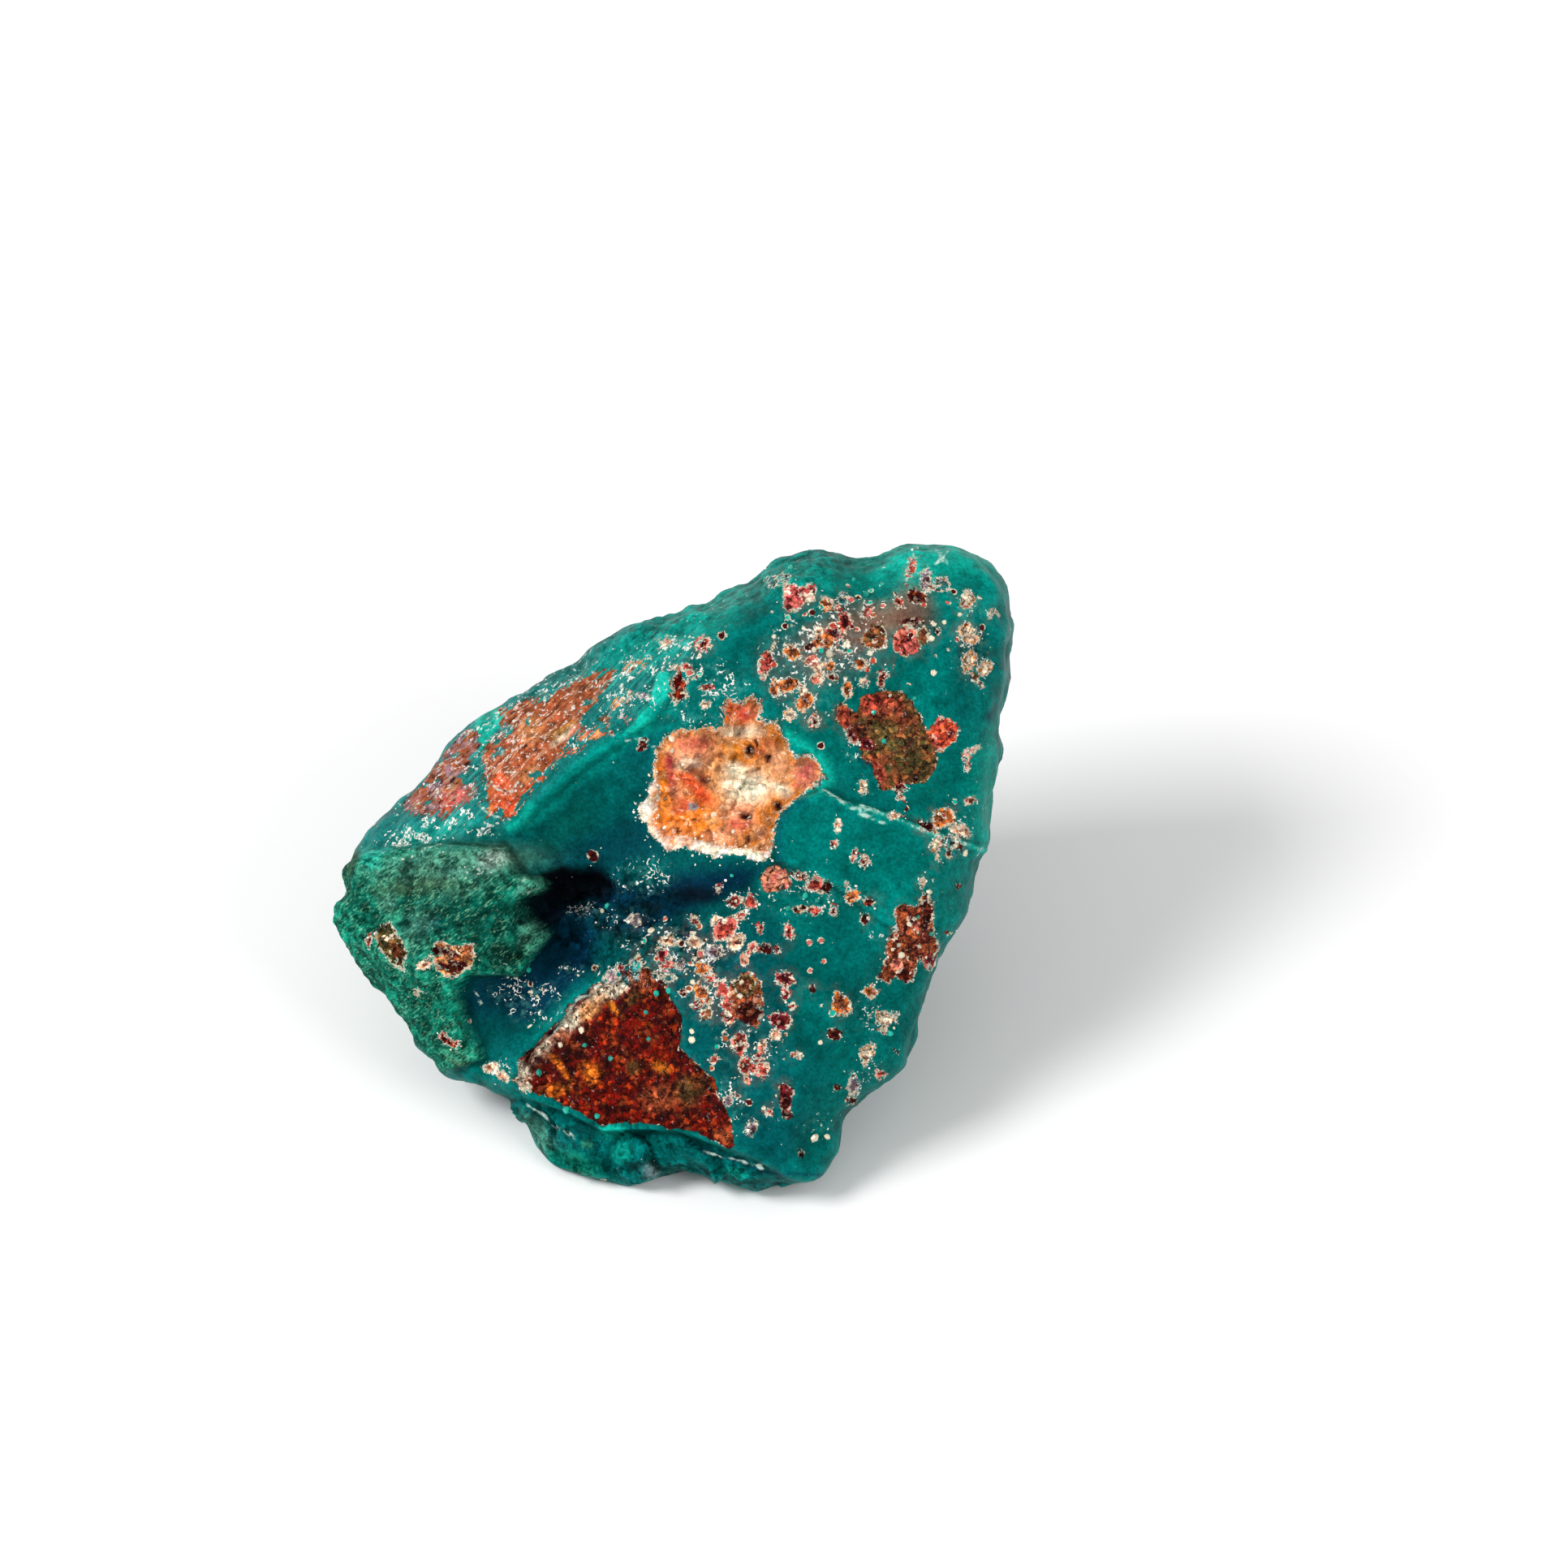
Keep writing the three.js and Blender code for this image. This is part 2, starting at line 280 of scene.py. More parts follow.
# ---- the stone's form -----------------------------------------------------------------------------
@dataclass(frozen=True)
class ShowFrame:
    """How the big broken face leans, and how high its centre stands above the bed, in millimetres."""

    lean_deg: float = 45.0
    bed_distance: float = 12.7

    @property
    def axes(self) -> Array:
        """Rows: the row frame's directions of s, t and d."""
        lean = math.radians(self.lean_deg)
        return np.array([[1, 0, 0],
                         [0, math.sin(lean), math.cos(lean)],
                         [0, -math.cos(lean), math.sin(lean)]])

    def to_row(self, points: Array) -> Array:
        """Turns points of the show frame into the row frame's directions, with the bed at z = 0."""
        return points @ self.axes + np.array([0, 0, self.bed_distance])

    def bed_height(self, points: Array) -> Array:
        """Height of each point of the show frame above the bed."""
        return points @ self.axes[:, 2] + self.bed_distance


@dataclass(frozen=True)
class Plane:
    """A fracture plane of the show face: its height d at one point and its slope along s and t."""

    at: Point
    height: float
    slope: Point


@dataclass(frozen=True)
class Scoop:
    """A smooth hollow: half widths before turning, turn in degrees, depth, and how flat its floor is."""

    at: Point
    size: Point
    turn: float
    depth: float
    flat: int = 1

    def sunk(self, s: Array, t: Array) -> Array:
        """Depth at each (s, t): a bell, exp(-(a² + b²)^flat) of the shares a and b of its half widths."""
        along, across = turned(s - self.at[0], t - self.at[1], self.turn)
        spread = (along / self.size[0]) ** 2 + (across / self.size[1]) ** 2
        return self.depth * np.exp(-(spread ** self.flat))


@dataclass(frozen=True)
class Plate:
    """An area stepped up or down as one, dying away from a point, with a crisp broken edge."""

    lift: float
    fade_at: Point
    fade_over: float
    outline: Outline
    edge: float = 0.3

    def raised(self, s: Array, t: Array) -> Array:
        """Height added at each (s, t)."""
        away = np.hypot(s - self.fade_at[0], t - self.fade_at[1])
        inside = self.outline.cover(s, t, -self.edge / 2, self.edge / 2)
        return self.lift * inside * bell(away, self.fade_over)


OUTLINE = Outline((
    (-21.77, -0.11), (-21.72, 0.27), (-20.97, 1.51), (-20.22, 2.69), (-18.98, 3.6), (-17.37, 4.95),
    (-16.13, 6.45), (-15.7, 7.37), (-15, 8.33), (-13.87, 9.46), (-13.12, 10.05), (-12.53, 10.05),
    (-11.29, 10.86), (-9.95, 11.45), (-8.76, 12.37), (-7.53, 12.85), (-6.51, 13.23), (-5.86, 14.14),
    (-4.52, 15.22), (-3.6, 15.81), (-2.1, 16.29), (-0.59, 16.51), (0.27, 16.72), (0.81, 17.26), (2.04, 17.26),
    (3.44, 18.17), (4.78, 18.55), (5.7, 19.46), (6.61, 20.22), (7.8, 20.59), (9.03, 20.97), (9.78, 21.08),
    (10.65, 20.86), (11.4, 20.43), (12.47, 20.32), (13.55, 20.43), (14.46, 20.86), (15.65, 21.24),
    (17.15, 21.34), (18.39, 21.24), (19.57, 20.81), (20.48, 20.32), (21.24, 19.57), (21.83, 18.82),
    (22.15, 17.8), (22.2, 16.88), (22.53, 15.54), (22.15, 14.03), (22.26, 12.47), (21.83, 11.29),
    (21.67, 10.11), (21.51, 8.87), (21.61, 7.53), (21.24, 6.29), (20.91, 4.78), (20.75, 3.28), (20.7, 1.34),
    (20.38, 0.59), (20, 0.22), (19.78, -1.18), (19.41, -2.85), (18.66, -4.19), (17.74, -5.54), (17.15, -6.88),
    (16.67, -8.28), (16.24, -9.46), (16.02, -10.65), (15.86, -11.88), (15.54, -12.31), (15.54, -12.96),
    (14.57, -14.14), (13.49, -14.57), (12.31, -15.43), (11.4, -16.4), (10.97, -17.31), (11.02, -18.82),
    (10.05, -20.11), (9.3, -20.65), (8.23, -20.75), (7.15, -20.91), (6.56, -20.86), (5.43, -21.51),
    (4.03, -21.08), (2.8, -20.65), (1.45, -20.16), (0.54, -20.11), (-0.38, -20.48), (-1.18, -20.54),
    (-2.1, -20.86), (-2.85, -21.29), (-3.6, -21.24), (-4.3, -20.91), (-4.84, -20.91), (-6.61, -20.38),
    (-8.12, -19.89), (-9.35, -18.39), (-9.73, -17.1), (-10.48, -16.4), (-10.54, -15.65), (-11.18, -15.27),
    (-11.99, -14.89), (-12.8, -14.3), (-13.87, -14.19), (-14.84, -14.03), (-15.38, -13.71), (-15.59, -12.96),
    (-16.61, -12.15), (-17.04, -11.13), (-17.63, -10.22), (-18.39, -9.3), (-19.46, -8.28), (-20.05, -7.26),
    (-20.81, -6.61), (-21.72, -5.54), (-22.31, -4.62), (-22.53, -3.6), (-22.31, -2.58), (-21.56, -1.77),
    (-21.72, -1.02)))

LUMP = Outline((
    (-21.6, 0.4), (-18.9, 1.1), (-15.7, 1.4), (-12.9, 1.2), (-11, 1.2), (-10.3, -0.6), (-8.8, -0.8),
    (-8.4, -1.2), (-8.6, -1.5), (-9.5, -1.9), (-10.3, -2.5), (-9.5, -3.5), (-9, -3.8), (-8.3, -4.5),
    (-8.7, -5.2), (-10.3, -7.2), (-13.5, -7.2), (-14.4, -8.3), (-13.8, -9.9), (-13, -12), (-12.5, -12.6),
    (-15.4, -13.7), (-18.4, -10.4), (-24, -6.1), (-24, -0.8)))
FINGER = Outline((
    (-1.3, 12.3), (-1, 12.8), (-0.4, 12.8), (-0.1, 12.2), (-0.2, 11.2), (-0.6, 10.4), (-1.3, 9.6),
    (-2.5, 8.9), (-3.4, 8.6), (-2.6, 9.6), (-1.7, 10.6)))
TEETH = (
    Outline((
        (-10.2, -0.5), (-9.4, -0.7), (-8.6, -0.9), (-8.4, -1.2), (-8.7, -1.5), (-9.6, -1.9), (-10.4, -2))),
    Outline((
        (-10.2, -3.4), (-9.5, -3.6), (-8.9, -3.8), (-8.3, -4.5), (-8.7, -5.2), (-9.8, -6), (-10.4, -5))))
VUG = Outline((
    (-0.6, 8.6), (0.6, 9), (2, 9.2), (2.6, 8.9), (3.2, 9.1), (3.3, 9.8), (3.1, 10.3), (3.4, 10.9),
    (4, 10.6), (4.6, 10.9), (5.1, 11.2), (5.6, 10.9), (5.7, 10.2), (5.4, 9.5), (6.7, 9.5), (7.1, 8.6),
    (7.5, 7.5), (7.9, 7), (8.7, 7.3), (9.4, 6.7), (9.9, 5.8), (9.1, 5.2), (8.2, 4.6), (7.3, 3.9),
    (6.7, 3.2), (6.5, 2.3), (6.5, 1.3), (5.9, 0.9), (5, 1), (4.3, 1.1), (3.4, 1.1), (2.5, 1.3),
    (1.3, 1.5), (0.3, 1.9), (-0.6, 1.7), (-1.1, 2.3), (-1.4, 3.3), (-1.4, 4.2), (-1.2, 5), (-1.1, 5.9),
    (-1.2, 7), (-1.1, 7.7)))
FRINGE = Outline((
    (-1.2, 6.2), (-1.6, 5.3), (-1.8, 4.5), (-2.3, 4.1), (-2.4, 3.2), (-1.8, 2.8), (-1.7, 2.2), (-1.2, 1.6),
    (-0.7, 1), (0.5, 1.3), (1.5, 0.9), (2.7, 0.6), (3.6, 0.8), (4.6, 0.6), (5.8, 0.4), (6.3, 1), (5.4, 1.2),
    (4.4, 1.3), (3.2, 1.4), (2.2, 1.7), (1, 1.9), (-0.3, 2.1), (-1, 2.6), (-1.3, 3.4), (-1.2, 4.4),
    (-1.1, 5.4)))
RUBY_BASIN = Outline((
    (-10.6, -14.2), (-9.8, -12.3), (-7.1, -9.6), (-6, -8.5), (-4.7, -7.8), (-4, -7.5), (-3.1, -6.9),
    (-1.7, -6.7), (-0.6, -7.7), (0, -9.1), (0.4, -9.9), (0.3, -12), (1.5, -13.1), (2.6, -13.9),
    (3.1, -15.3), (3.7, -16.9), (4, -18.2), (3.7, -18.5), (2.6, -18), (1.5, -17.4), (-0.1, -17.2),
    (-2.3, -16.8), (-4.7, -17.2), (-6, -16.3), (-7.1, -15.8), (-8.2, -15.3), (-9.8, -14.7)))
STREAKED_FACE = Outline((
    (-22, 1), (-19, 3.6), (-16.1, 6.5), (-13.9, 9.5), (-11.3, 10.9), (-7.5, 12.8), (-3.6, 15.8),
    (0.3, 17.2), (2, 17.6), (3.4, 18.2), (2.6, 15.8), (0.3, 12.9), (-1.7, 10), (-5.5, 7.6), (-9.2, 4.4),
    (-11.1, 2.7), (-14.6, 1.6), (-19.5, 0.9)))
SHELL = Outline((
    (9.6, 4.9), (7.7, 4.4), (6.9, 3.5), (6.5, 2.2), (6.7, 0.3), (8.2, -0.3), (10.6, -1.3), (13.3, -3.4),
    (16, -5.1), (23, -5.1), (23, 1.1), (20.3, 1.1), (17.6, 1.9), (15.5, 2.7), (13.9, 3.3), (11.7, 3.9)))
DARK_FACE = Outline((
    (-0.4, 9.9), (-1.9, 9.3), (-3.9, 7.9), (-5.6, 6.9), (-7.3, 5.4), (-9.3, 3.6), (-10.5, 2.2), (-9, -6),
    (6, -6), (6, 9)))
BOTTOM_LOBE = Outline((
    (-13, -15), (-10.5, -15.3), (-7.1, -16.2), (-4.7, -17.4), (-0.1, -17.4), (3.9, -18.7), (6.9, -20.1),
    (11, -23), (-13, -23)))
CRACK = Line(((9.6, 4.9), (11.7, 3.9), (13.9, 3.3), (15.5, 2.7), (17.6, 1.9), (20.5, 1.0)))
RIDGE = Line(((0.1, 12.6), (-1.7, 10.0), (-3.9, 8.4), (-5.5, 7.6), (-7.1, 6.2), (-9.2, 4.4), (-11.1, 2.7)))


# Fine pale lines: edges where light catches, and healed cracks.
GLINTS = (
    CRACK, Line(((12.2, 3.5), (13.8, 2.7))), Line(((-3.2, 8.2), (-2.2, 8.4), (-1.2, 7.9))),
    Line(((-10, -0.9), (-9.5, -0.7), (-8.6, -0.9), (-8.4, -1.2), (-8.7, -1.5), (-10, -1.9))),
    Line(((-9.6, -3.6), (-9, -3.8), (-8.3, -4.5), (-8.7, -5.1))), Line(((17.1, 20.8), (18.1, 20))),
    Line(((17.2, 20), (18, 20.8))), Line(((-13.1, -8.2), (-12.7, -9.1))),
    Line(((-9.3, -12), (-8, -11), (-7.5, -10.3), (-6.2, -8.8), (-4.7, -8.0), (-4, -7.6))),
    Line(((7, 9.2), (7.5, 7.6), (8, 7.1), (8.8, 7.2), (9.6, 6.6), (9.9, 5.9), (9.2, 5.2))),
    Line(((-11.9, 5.4), (-11.5, 4.9), (-10.9, 4.9), (-10.5, 5.5))), Line(((-13, 4), (-12, 3.2), (-10.8, 3))),
    Line(((1.5, -18.7), (2.4, -19), (4, -19.4), (6, -19.8))),
    Line(((-9.6, -15.8), (-8.4, -16.8), (-6.5, -18))))


@dataclass(frozen=True)
class StoneForm:
    """The stone as one closed form, above zero outside it and below zero inside it.

    Fracture planes of the show face meet in ridges, scoops sink it and plates step it. The sides bulge
    out to the widest line and are cut by planes that rest against it, and so is the back.
    """

    show: ShowFrame = ShowFrame()
    outline: Outline = OUTLINE
    planes: tuple[Plane, ...] = (
        Plane((8, -2), 8.2, (-0.10, -0.06)),       # main face
        Plane((17, 2), 6.6, (-0.55, 0.02)),        # right flank
        Plane((14, 17), 6.0, (-0.15, -0.55)),      # top right shoulder
        Plane((2, 14.8), 7.2, (0.45, -1.0)),       # top band
        Plane((-5.5, 7.6), 7.0, (0.80, -0.89)),    # streaked face
        Plane((-14, -2), 4.8, (0.42, -0.27)),      # green lump, upper side
        Plane((-15, -9), 4.0, (0.55, 0.35)),       # green lump, lower side
        Plane((5, -10), 8.6, (0.23, 0.10)),        # lower left face
        Plane((-3, -17), 7.4, (0.14, 0.50)),       # bottom facet
        Plane((13, -12), 6.6, (-0.50, 0.24)))      # lower right corner
    scoops: tuple[Scoop, ...] = (
        Scoop((-4.6, 0.8), (6.2, 4.4), 42, 3.4),       # dark face under the ridge
        Scoop((-6.3, -1.6), (2.3, 1.4), 0, 2.0, 2),    # black cavity
        Scoop((-7.2, -5.0), (2.6, 3.0), 0, 2.0),       # gully under the cavity
        Scoop((-10.2, -9.2), (3.2, 3.8), -30, 2.0),    # navy gully
        Scoop((0.8, -2.8), (5.0, 1.9), 8, 1.4),        # band under the vug
        Scoop((-11.0, -5.9), (1.2, 0.9), 0, 1.2, 2),   # pocket in the lump
        Scoop((13.8, 7.8), (4.0, 3.4), 0, 0.5),        # dish at the brown patch
        Scoop((12.3, 19.6), (1.8, 2.2), 0, 1.4),       # notch in the top edge
        Scoop((4.2, 5.6), (3.4, 3.0), 0, 0.9, 2),      # hollow of the vug
        Scoop((-8.8, -2.8), (1.2, 0.7), 20, 0.7, 2))   # gap between the lump's teeth
    plates: tuple[Plate, ...] = (
        Plate(1.3, (-13, -3), 14, LUMP),
        Plate(-0.7, (3, 5), 16, VUG, 0.9),
        Plate(-1.1, (-6, -10), 8, RUBY_BASIN),
        Plate(0.9, (9.5, 3.5), 7.5, SHELL),
        Plate(-0.6, (-5.0, 4.2), 6.5, DARK_FACE, 0.7),
        Plate(-1.2, (-3, -18), 12, BOTTOM_LOBE))
    sides: tuple[Point, ...] = (
        (2, 26), (-27, 36), (14, 54), (-55, 24), (-138, 22), (-172, 34), (168, 58), (127, 40), (112, 52),
        (96, 33), (52, 44), (70, 62))                  # bearing and tuck of each side plane, in degrees
    back: tuple[tuple[float, float, float, float], ...] = (
        (0.08, 0.40, -0.913, 15.2), (0.38, 0.16, -0.91, 15.8), (-0.36, 0.22, -0.91, 14.4),
        (0.34, -0.16, -0.93, 16.2), (-0.35, -0.12, -0.93, 15.6))   # normal and reach of each back plane
    swells: tuple[tuple[float, ...], ...] = (
        (0.62, 0.35, 0.20, 0.4, 0.16), (-0.33, 0.71, 0.42, 2.1, 0.15), (0.95, -0.60, 0.55, 4.0, 0.11),
        (0.28, 1.24, -0.75, 1.2, 0.07), (-1.45, 0.52, 0.96, 5.2, 0.05), (1.30, 1.45, 0.30, 3.3, 0.04))
    waist_level: float = -0.5         # depth of the widest line at the middle of the face
    waist_slope: Point = (0.05, -0.12)
    waist_clear: float = 1.2          # how far it keeps off the bed
    waist_blend: float = 1.0
    ridge_lift: float = 0.05
    ridge_width: float = 0.3
    face_blend: float = 0.4
    rim_blend: float = 1.2
    back_blend: float = 0.35
    steepness: float = 0.85
    curve_front: float = 22.0
    curve_back: float = 17.0

    def height(self, s: Array, t: Array) -> Array:
        """Height of the show face above d = 0."""
        depth = None
        for plane in self.planes:
            level = plane.height + plane.slope[0] * (s - plane.at[0]) + plane.slope[1] * (t - plane.at[1])
            depth = -level if depth is None else soft_max(depth, -level, self.face_blend)
        top = -depth
        for scoop in self.scoops:
            top = top - scoop.sunk(s, t)
        for plate in self.plates:
            top = top + plate.raised(s, t)
        return top + self.ridge_lift * bell(RIDGE.distance(s, t), self.ridge_width)

    def waist(self, s: Array, t: Array) -> Array:
        """Depth d at which the side wall is widest: it follows the bed near the bottom edge."""
        above_bed = -t - self.show.bed_distance / self.show.axes[2, 2] + self.waist_clear
        level = self.waist_level + self.waist_slope[0] * s + self.waist_slope[1] * t
        return soft_max(level, above_bed, self.waist_blend)

    def hidden_planes(self) -> Array:
        """Normals and reaches of the side and back planes; each side plane touches the widest line."""
        edge = np.array(self.outline.points)
        waist = self.waist(edge[:, 0], edge[:, 1])
        rows = []
        for bearing, tuck in np.radians(self.sides):
            normal = np.array([math.cos(bearing) * math.cos(tuck), math.sin(bearing) * math.cos(tuck),
                               -math.sin(tuck)])
            rows.append([*normal, (np.column_stack([edge, waist]) @ normal).max()])
        return np.array([*rows, *self.back])

    def swell(self, points: Array) -> Array:
        """Gentle waves of the broken surface: a sum of sines over the show frame."""
        waves = np.array(self.swells)
        return np.sin(points @ waves[:, :3].T + waves[:, 3]) @ waves[:, 4]


class Chart:
    """The show face's height and the outline's distance on a fine square grid, read between its points."""

    rounding = 40                    # rounds of averaging that take the corners off the outline

    def __init__(self, form: StoneForm, step: float = 0.08, reach: float = 27.0) -> None:
        """Fills the grid.

        Args:
            form: the stone's form.
            step: spacing of the grid, in millimetres.
            reach: half width of the grid, in millimetres.
        """
        self.step, self.reach = step, reach
        line = np.arange(-reach, reach + step, step)
        self.count = len(line)
        s, t = np.meshgrid(line, line, indexing="ij")
        self.height = form.height(s, t).ravel()
        edge = form.outline.distance(s, t)
        for _ in range(self.rounding):
            around = np.roll(edge, 1, 0) + np.roll(edge, -1, 0) + np.roll(edge, 1, 1) + np.roll(edge, -1, 1)
            edge = (edge + around) / 5
        self.edge = edge.ravel()

    def read(self, s: Array, t: Array) -> tuple[Array, Array]:
        """Height and outline distance at each (s, t), blended between the four grid points around it."""
        u = np.clip((s + self.reach) / self.step, 0, self.count - 1.001)
        v = np.clip((t + self.reach) / self.step, 0, self.count - 1.001)
        i, j = u.astype(int), v.astype(int)
        u, v = u - i, v - j
        code = i * self.count + j
        corners = ((0, (1 - u) * (1 - v)), (1, (1 - u) * v),
                   (self.count, u * (1 - v)), (self.count + 1, u * v))
        height = sum(self.height[code + shift] * share for shift, share in corners)
        edge = sum(self.edge[code + shift] * share for shift, share in corners)
        return height, edge


@dataclass(frozen=True)
class Growth:
    """How the surface is grown: one ray for each point of a cube grid, from a disc inside the stone."""

    steps: int = 128                  # cells along each edge of the cube
    heart: tuple[float, float, float] = (0.5, 0.5, -6.0)
    disc_radius: float = 11.0
    forward_share: float = 0.6        # draws the rays towards the show face, where the relief is
    longest: float = 26.0
    marches: int = 60
    halvings: int = 14

    def cube_grid(self) -> tuple[Array, Array]:
        """Points of a cube's surface from -1 to 1 and its square cells, counter-clockwise from outside."""
        n = self.steps
        i, j = np.meshgrid(np.arange(n + 1), np.arange(n + 1), indexing="ij")
        i, j = i.ravel(), j.ravel()
        corner = (np.arange(n)[:, None] * (n + 1) + np.arange(n)).ravel()
        square = np.column_stack([corner, corner + n + 1, corner + n + 2, corner + 1])
        lattice, squares = [], []
        for axis in range(3):
            for side in (0, n):
                sheet = np.empty((len(i), 3), int)
                sheet[:, axis] = side
                sheet[:, (axis + 1) % 3] = i
                sheet[:, (axis + 2) % 3] = j
                lattice.append(sheet)
                squares.append((square if side else square[:, ::-1]) + (len(lattice) - 1) * len(i))
        lattice = np.concatenate(lattice)
        code = (lattice[:, 0] * (n + 1) + lattice[:, 1]) * (n + 1) + lattice[:, 2]
        _, first, merged = np.unique(code, return_index=True, return_inverse=True)
        return lattice[first] * 2.0 / n - 1, merged.ravel()[np.concatenate(squares)]

    def surface(self, form: StoneForm) -> tuple[Array, Array]:
        """Grows the surface: marches each ray until it leaves the stone, then halves the last step.

        Args:
            form: the stone's form.

        Returns:
            Points in the show frame, and the mesh's square cells.
        """
        grid, squares = self.cube_grid()
        rays = np.tan(grid * math.pi / 4)
        rays /= np.linalg.norm(rays, axis=1)[:, None]
        rays[:, 2] += self.forward_share
        rays /= np.linalg.norm(rays, axis=1)[:, None]
        start = rays * np.array([self.disc_radius, self.disc_radius, 0]) + np.array(self.heart)
        chart, hidden = Chart(form), form.hidden_planes()

        def outside(reach: Array) -> Array:
            """How far outside the stone each ray's point is at its reach, below zero inside it."""
            points = start + rays * reach[:, None]
            s, t, d = points.T
            height, edge = chart.read(s, t)
            from_waist = d - form.waist(s, t)
            curve = np.where(from_waist > 0, form.curve_front, form.curve_back)
            swell = form.swell(points)
            front = form.steepness * (d - height) + swell
            shell = soft_max(edge + from_waist ** 2 / (2 * curve), front, form.rim_blend)
            cut = None
            for plane in hidden:
                level = points @ plane[:3] - plane[3]
                cut = level if cut is None else soft_max(cut, level, form.back_blend)
            shell = soft_max(shell, cut + np.maximum(swell, 0), form.back_blend)
            return np.maximum(shell, -form.show.bed_height(points))

        stride = self.longest / self.marches
        near, far = np.zeros(len(rays)), np.full(len(rays), self.longest)
        inside = np.ones(len(rays), bool)
        for march in range(1, self.marches + 1):
            reach = np.full(len(rays), march * stride)
            out = outside(reach) >= 0
            far = np.where(inside & out, reach, far)
            inside &= ~out
            near = np.where(inside, reach, near)
            if not inside.any():
                break
        for _ in range(self.halvings):
            middle = (near + far) / 2
            held = outside(middle) < 0
            near, far = np.where(held, middle, near), np.where(held, far, middle)
        return start + rays * near[:, None], squares


def gathered(vectors: Array, squares: Array, count: int) -> Array:
    """Adds up at each of `count` points the vectors of the squares around it."""
    return np.stack([np.bincount(squares.ravel(), np.repeat(vectors[:, k], 4), count) for k in range(3)], 1)


def vertex_normals(points: Array, squares: Array) -> Array:
    """Unit normals at the points: each square's area vector (half the cross of its diagonals), summed."""
    a, b, c, d = (points[squares[:, corner]] for corner in range(4))
    total = gathered(np.cross(c - a, d - b), squares, len(points))
    return total / np.maximum(np.linalg.norm(total, axis=1), 1e-12)[:, None]


# ---- colour areas ---------------------------------------------------------------------------------
@dataclass(frozen=True)
class Wash:
    """A soft-edged area of colour drawn with an outline on the show face."""

    tint: Tint
    weight: float
    soft: float
    outline: Outline

    def share(self, s: Array, t: Array) -> Array:
        """Share of the colour at each (s, t)."""
        return self.weight * self.outline.cover(s, t, -self.soft / 2, self.soft / 2)


@dataclass(frozen=True)
class Oval:
    """A soft oval: weight, centre, half widths, and turn in degrees."""

    weight: float
    centre_s: float
    centre_t: float
    along: float
    across: float
    turn: float = 0.0

    def share(self, s: Array, t: Array) -> Array:
        """Weight at each (s, t): a bell with a flat top."""
        centre, size = (self.centre_s, self.centre_t), (self.along, self.across)
        return self.weight * Scoop(centre, size, self.turn, 1.0, 2).sunk(s, t)


@dataclass(frozen=True)
class Blot:
    """A soft oval of colour."""

    tint: Tint
    oval: Oval

    def share(self, s: Array, t: Array) -> Array:
        """Share of the colour at each (s, t)."""
        return self.oval.share(s, t)


@dataclass(frozen=True)
class Vein:
    """A soft line of colour."""

    tint: Tint
    weight: float
    width: float
    line: Line

    def share(self, s: Array, t: Array) -> Array:
        """Share of the colour at each (s, t)."""
        return self.weight * bell(self.line.distance(s, t), self.width)


@dataclass(frozen=True)
class Patch:
    """An iron-stained patch of quartz in the silicate. Its name only tells the reader which one it is.

    Two colours mix in it. `rim` is how strong its cream crust is, `sink` how far its floor lies below
    the face around it in millimetres, and `pits` how pitted it is.
    """

    name: str
    outline: Outline
    tint: Tint
    core: Tint
    rim: float = 0.6
    sink: float = 0.12
    pits: float = 0.3


@dataclass(frozen=True)
class Spots:
    """Small ovals of stained quartz of one kind: each is a centre, two half widths and a turn in degrees."""

    tint: Tint
    core: Tint
    rim: float
    ovals: tuple[tuple[float, ...], ...]

    def distance(self, s: Array, t: Array) -> tuple[Array, Array]:
        """Signed distance from each (s, t) to the nearest oval, and how deep it lies in it, 0 to 1."""
        nearest, depth = np.full(np.shape(s), np.inf), np.zeros(np.shape(s))
        for centre_s, centre_t, along, across, *turn in self.ovals:
            u, v = turned(s - centre_s, t - centre_t, turn[0] if turn else 0)
            spread = np.hypot(u / along, v / across)
            nearest = np.minimum(nearest, (spread - 1) * min(along, across))
            depth = np.maximum(depth, 1 - spread)
        return nearest, depth


def blots(*rows: tuple) -> tuple[Blot, ...]:
    """Blots from rows of a tint and an oval's numbers."""
    return tuple(Blot(tint, Oval(*oval)) for tint, *oval in rows)
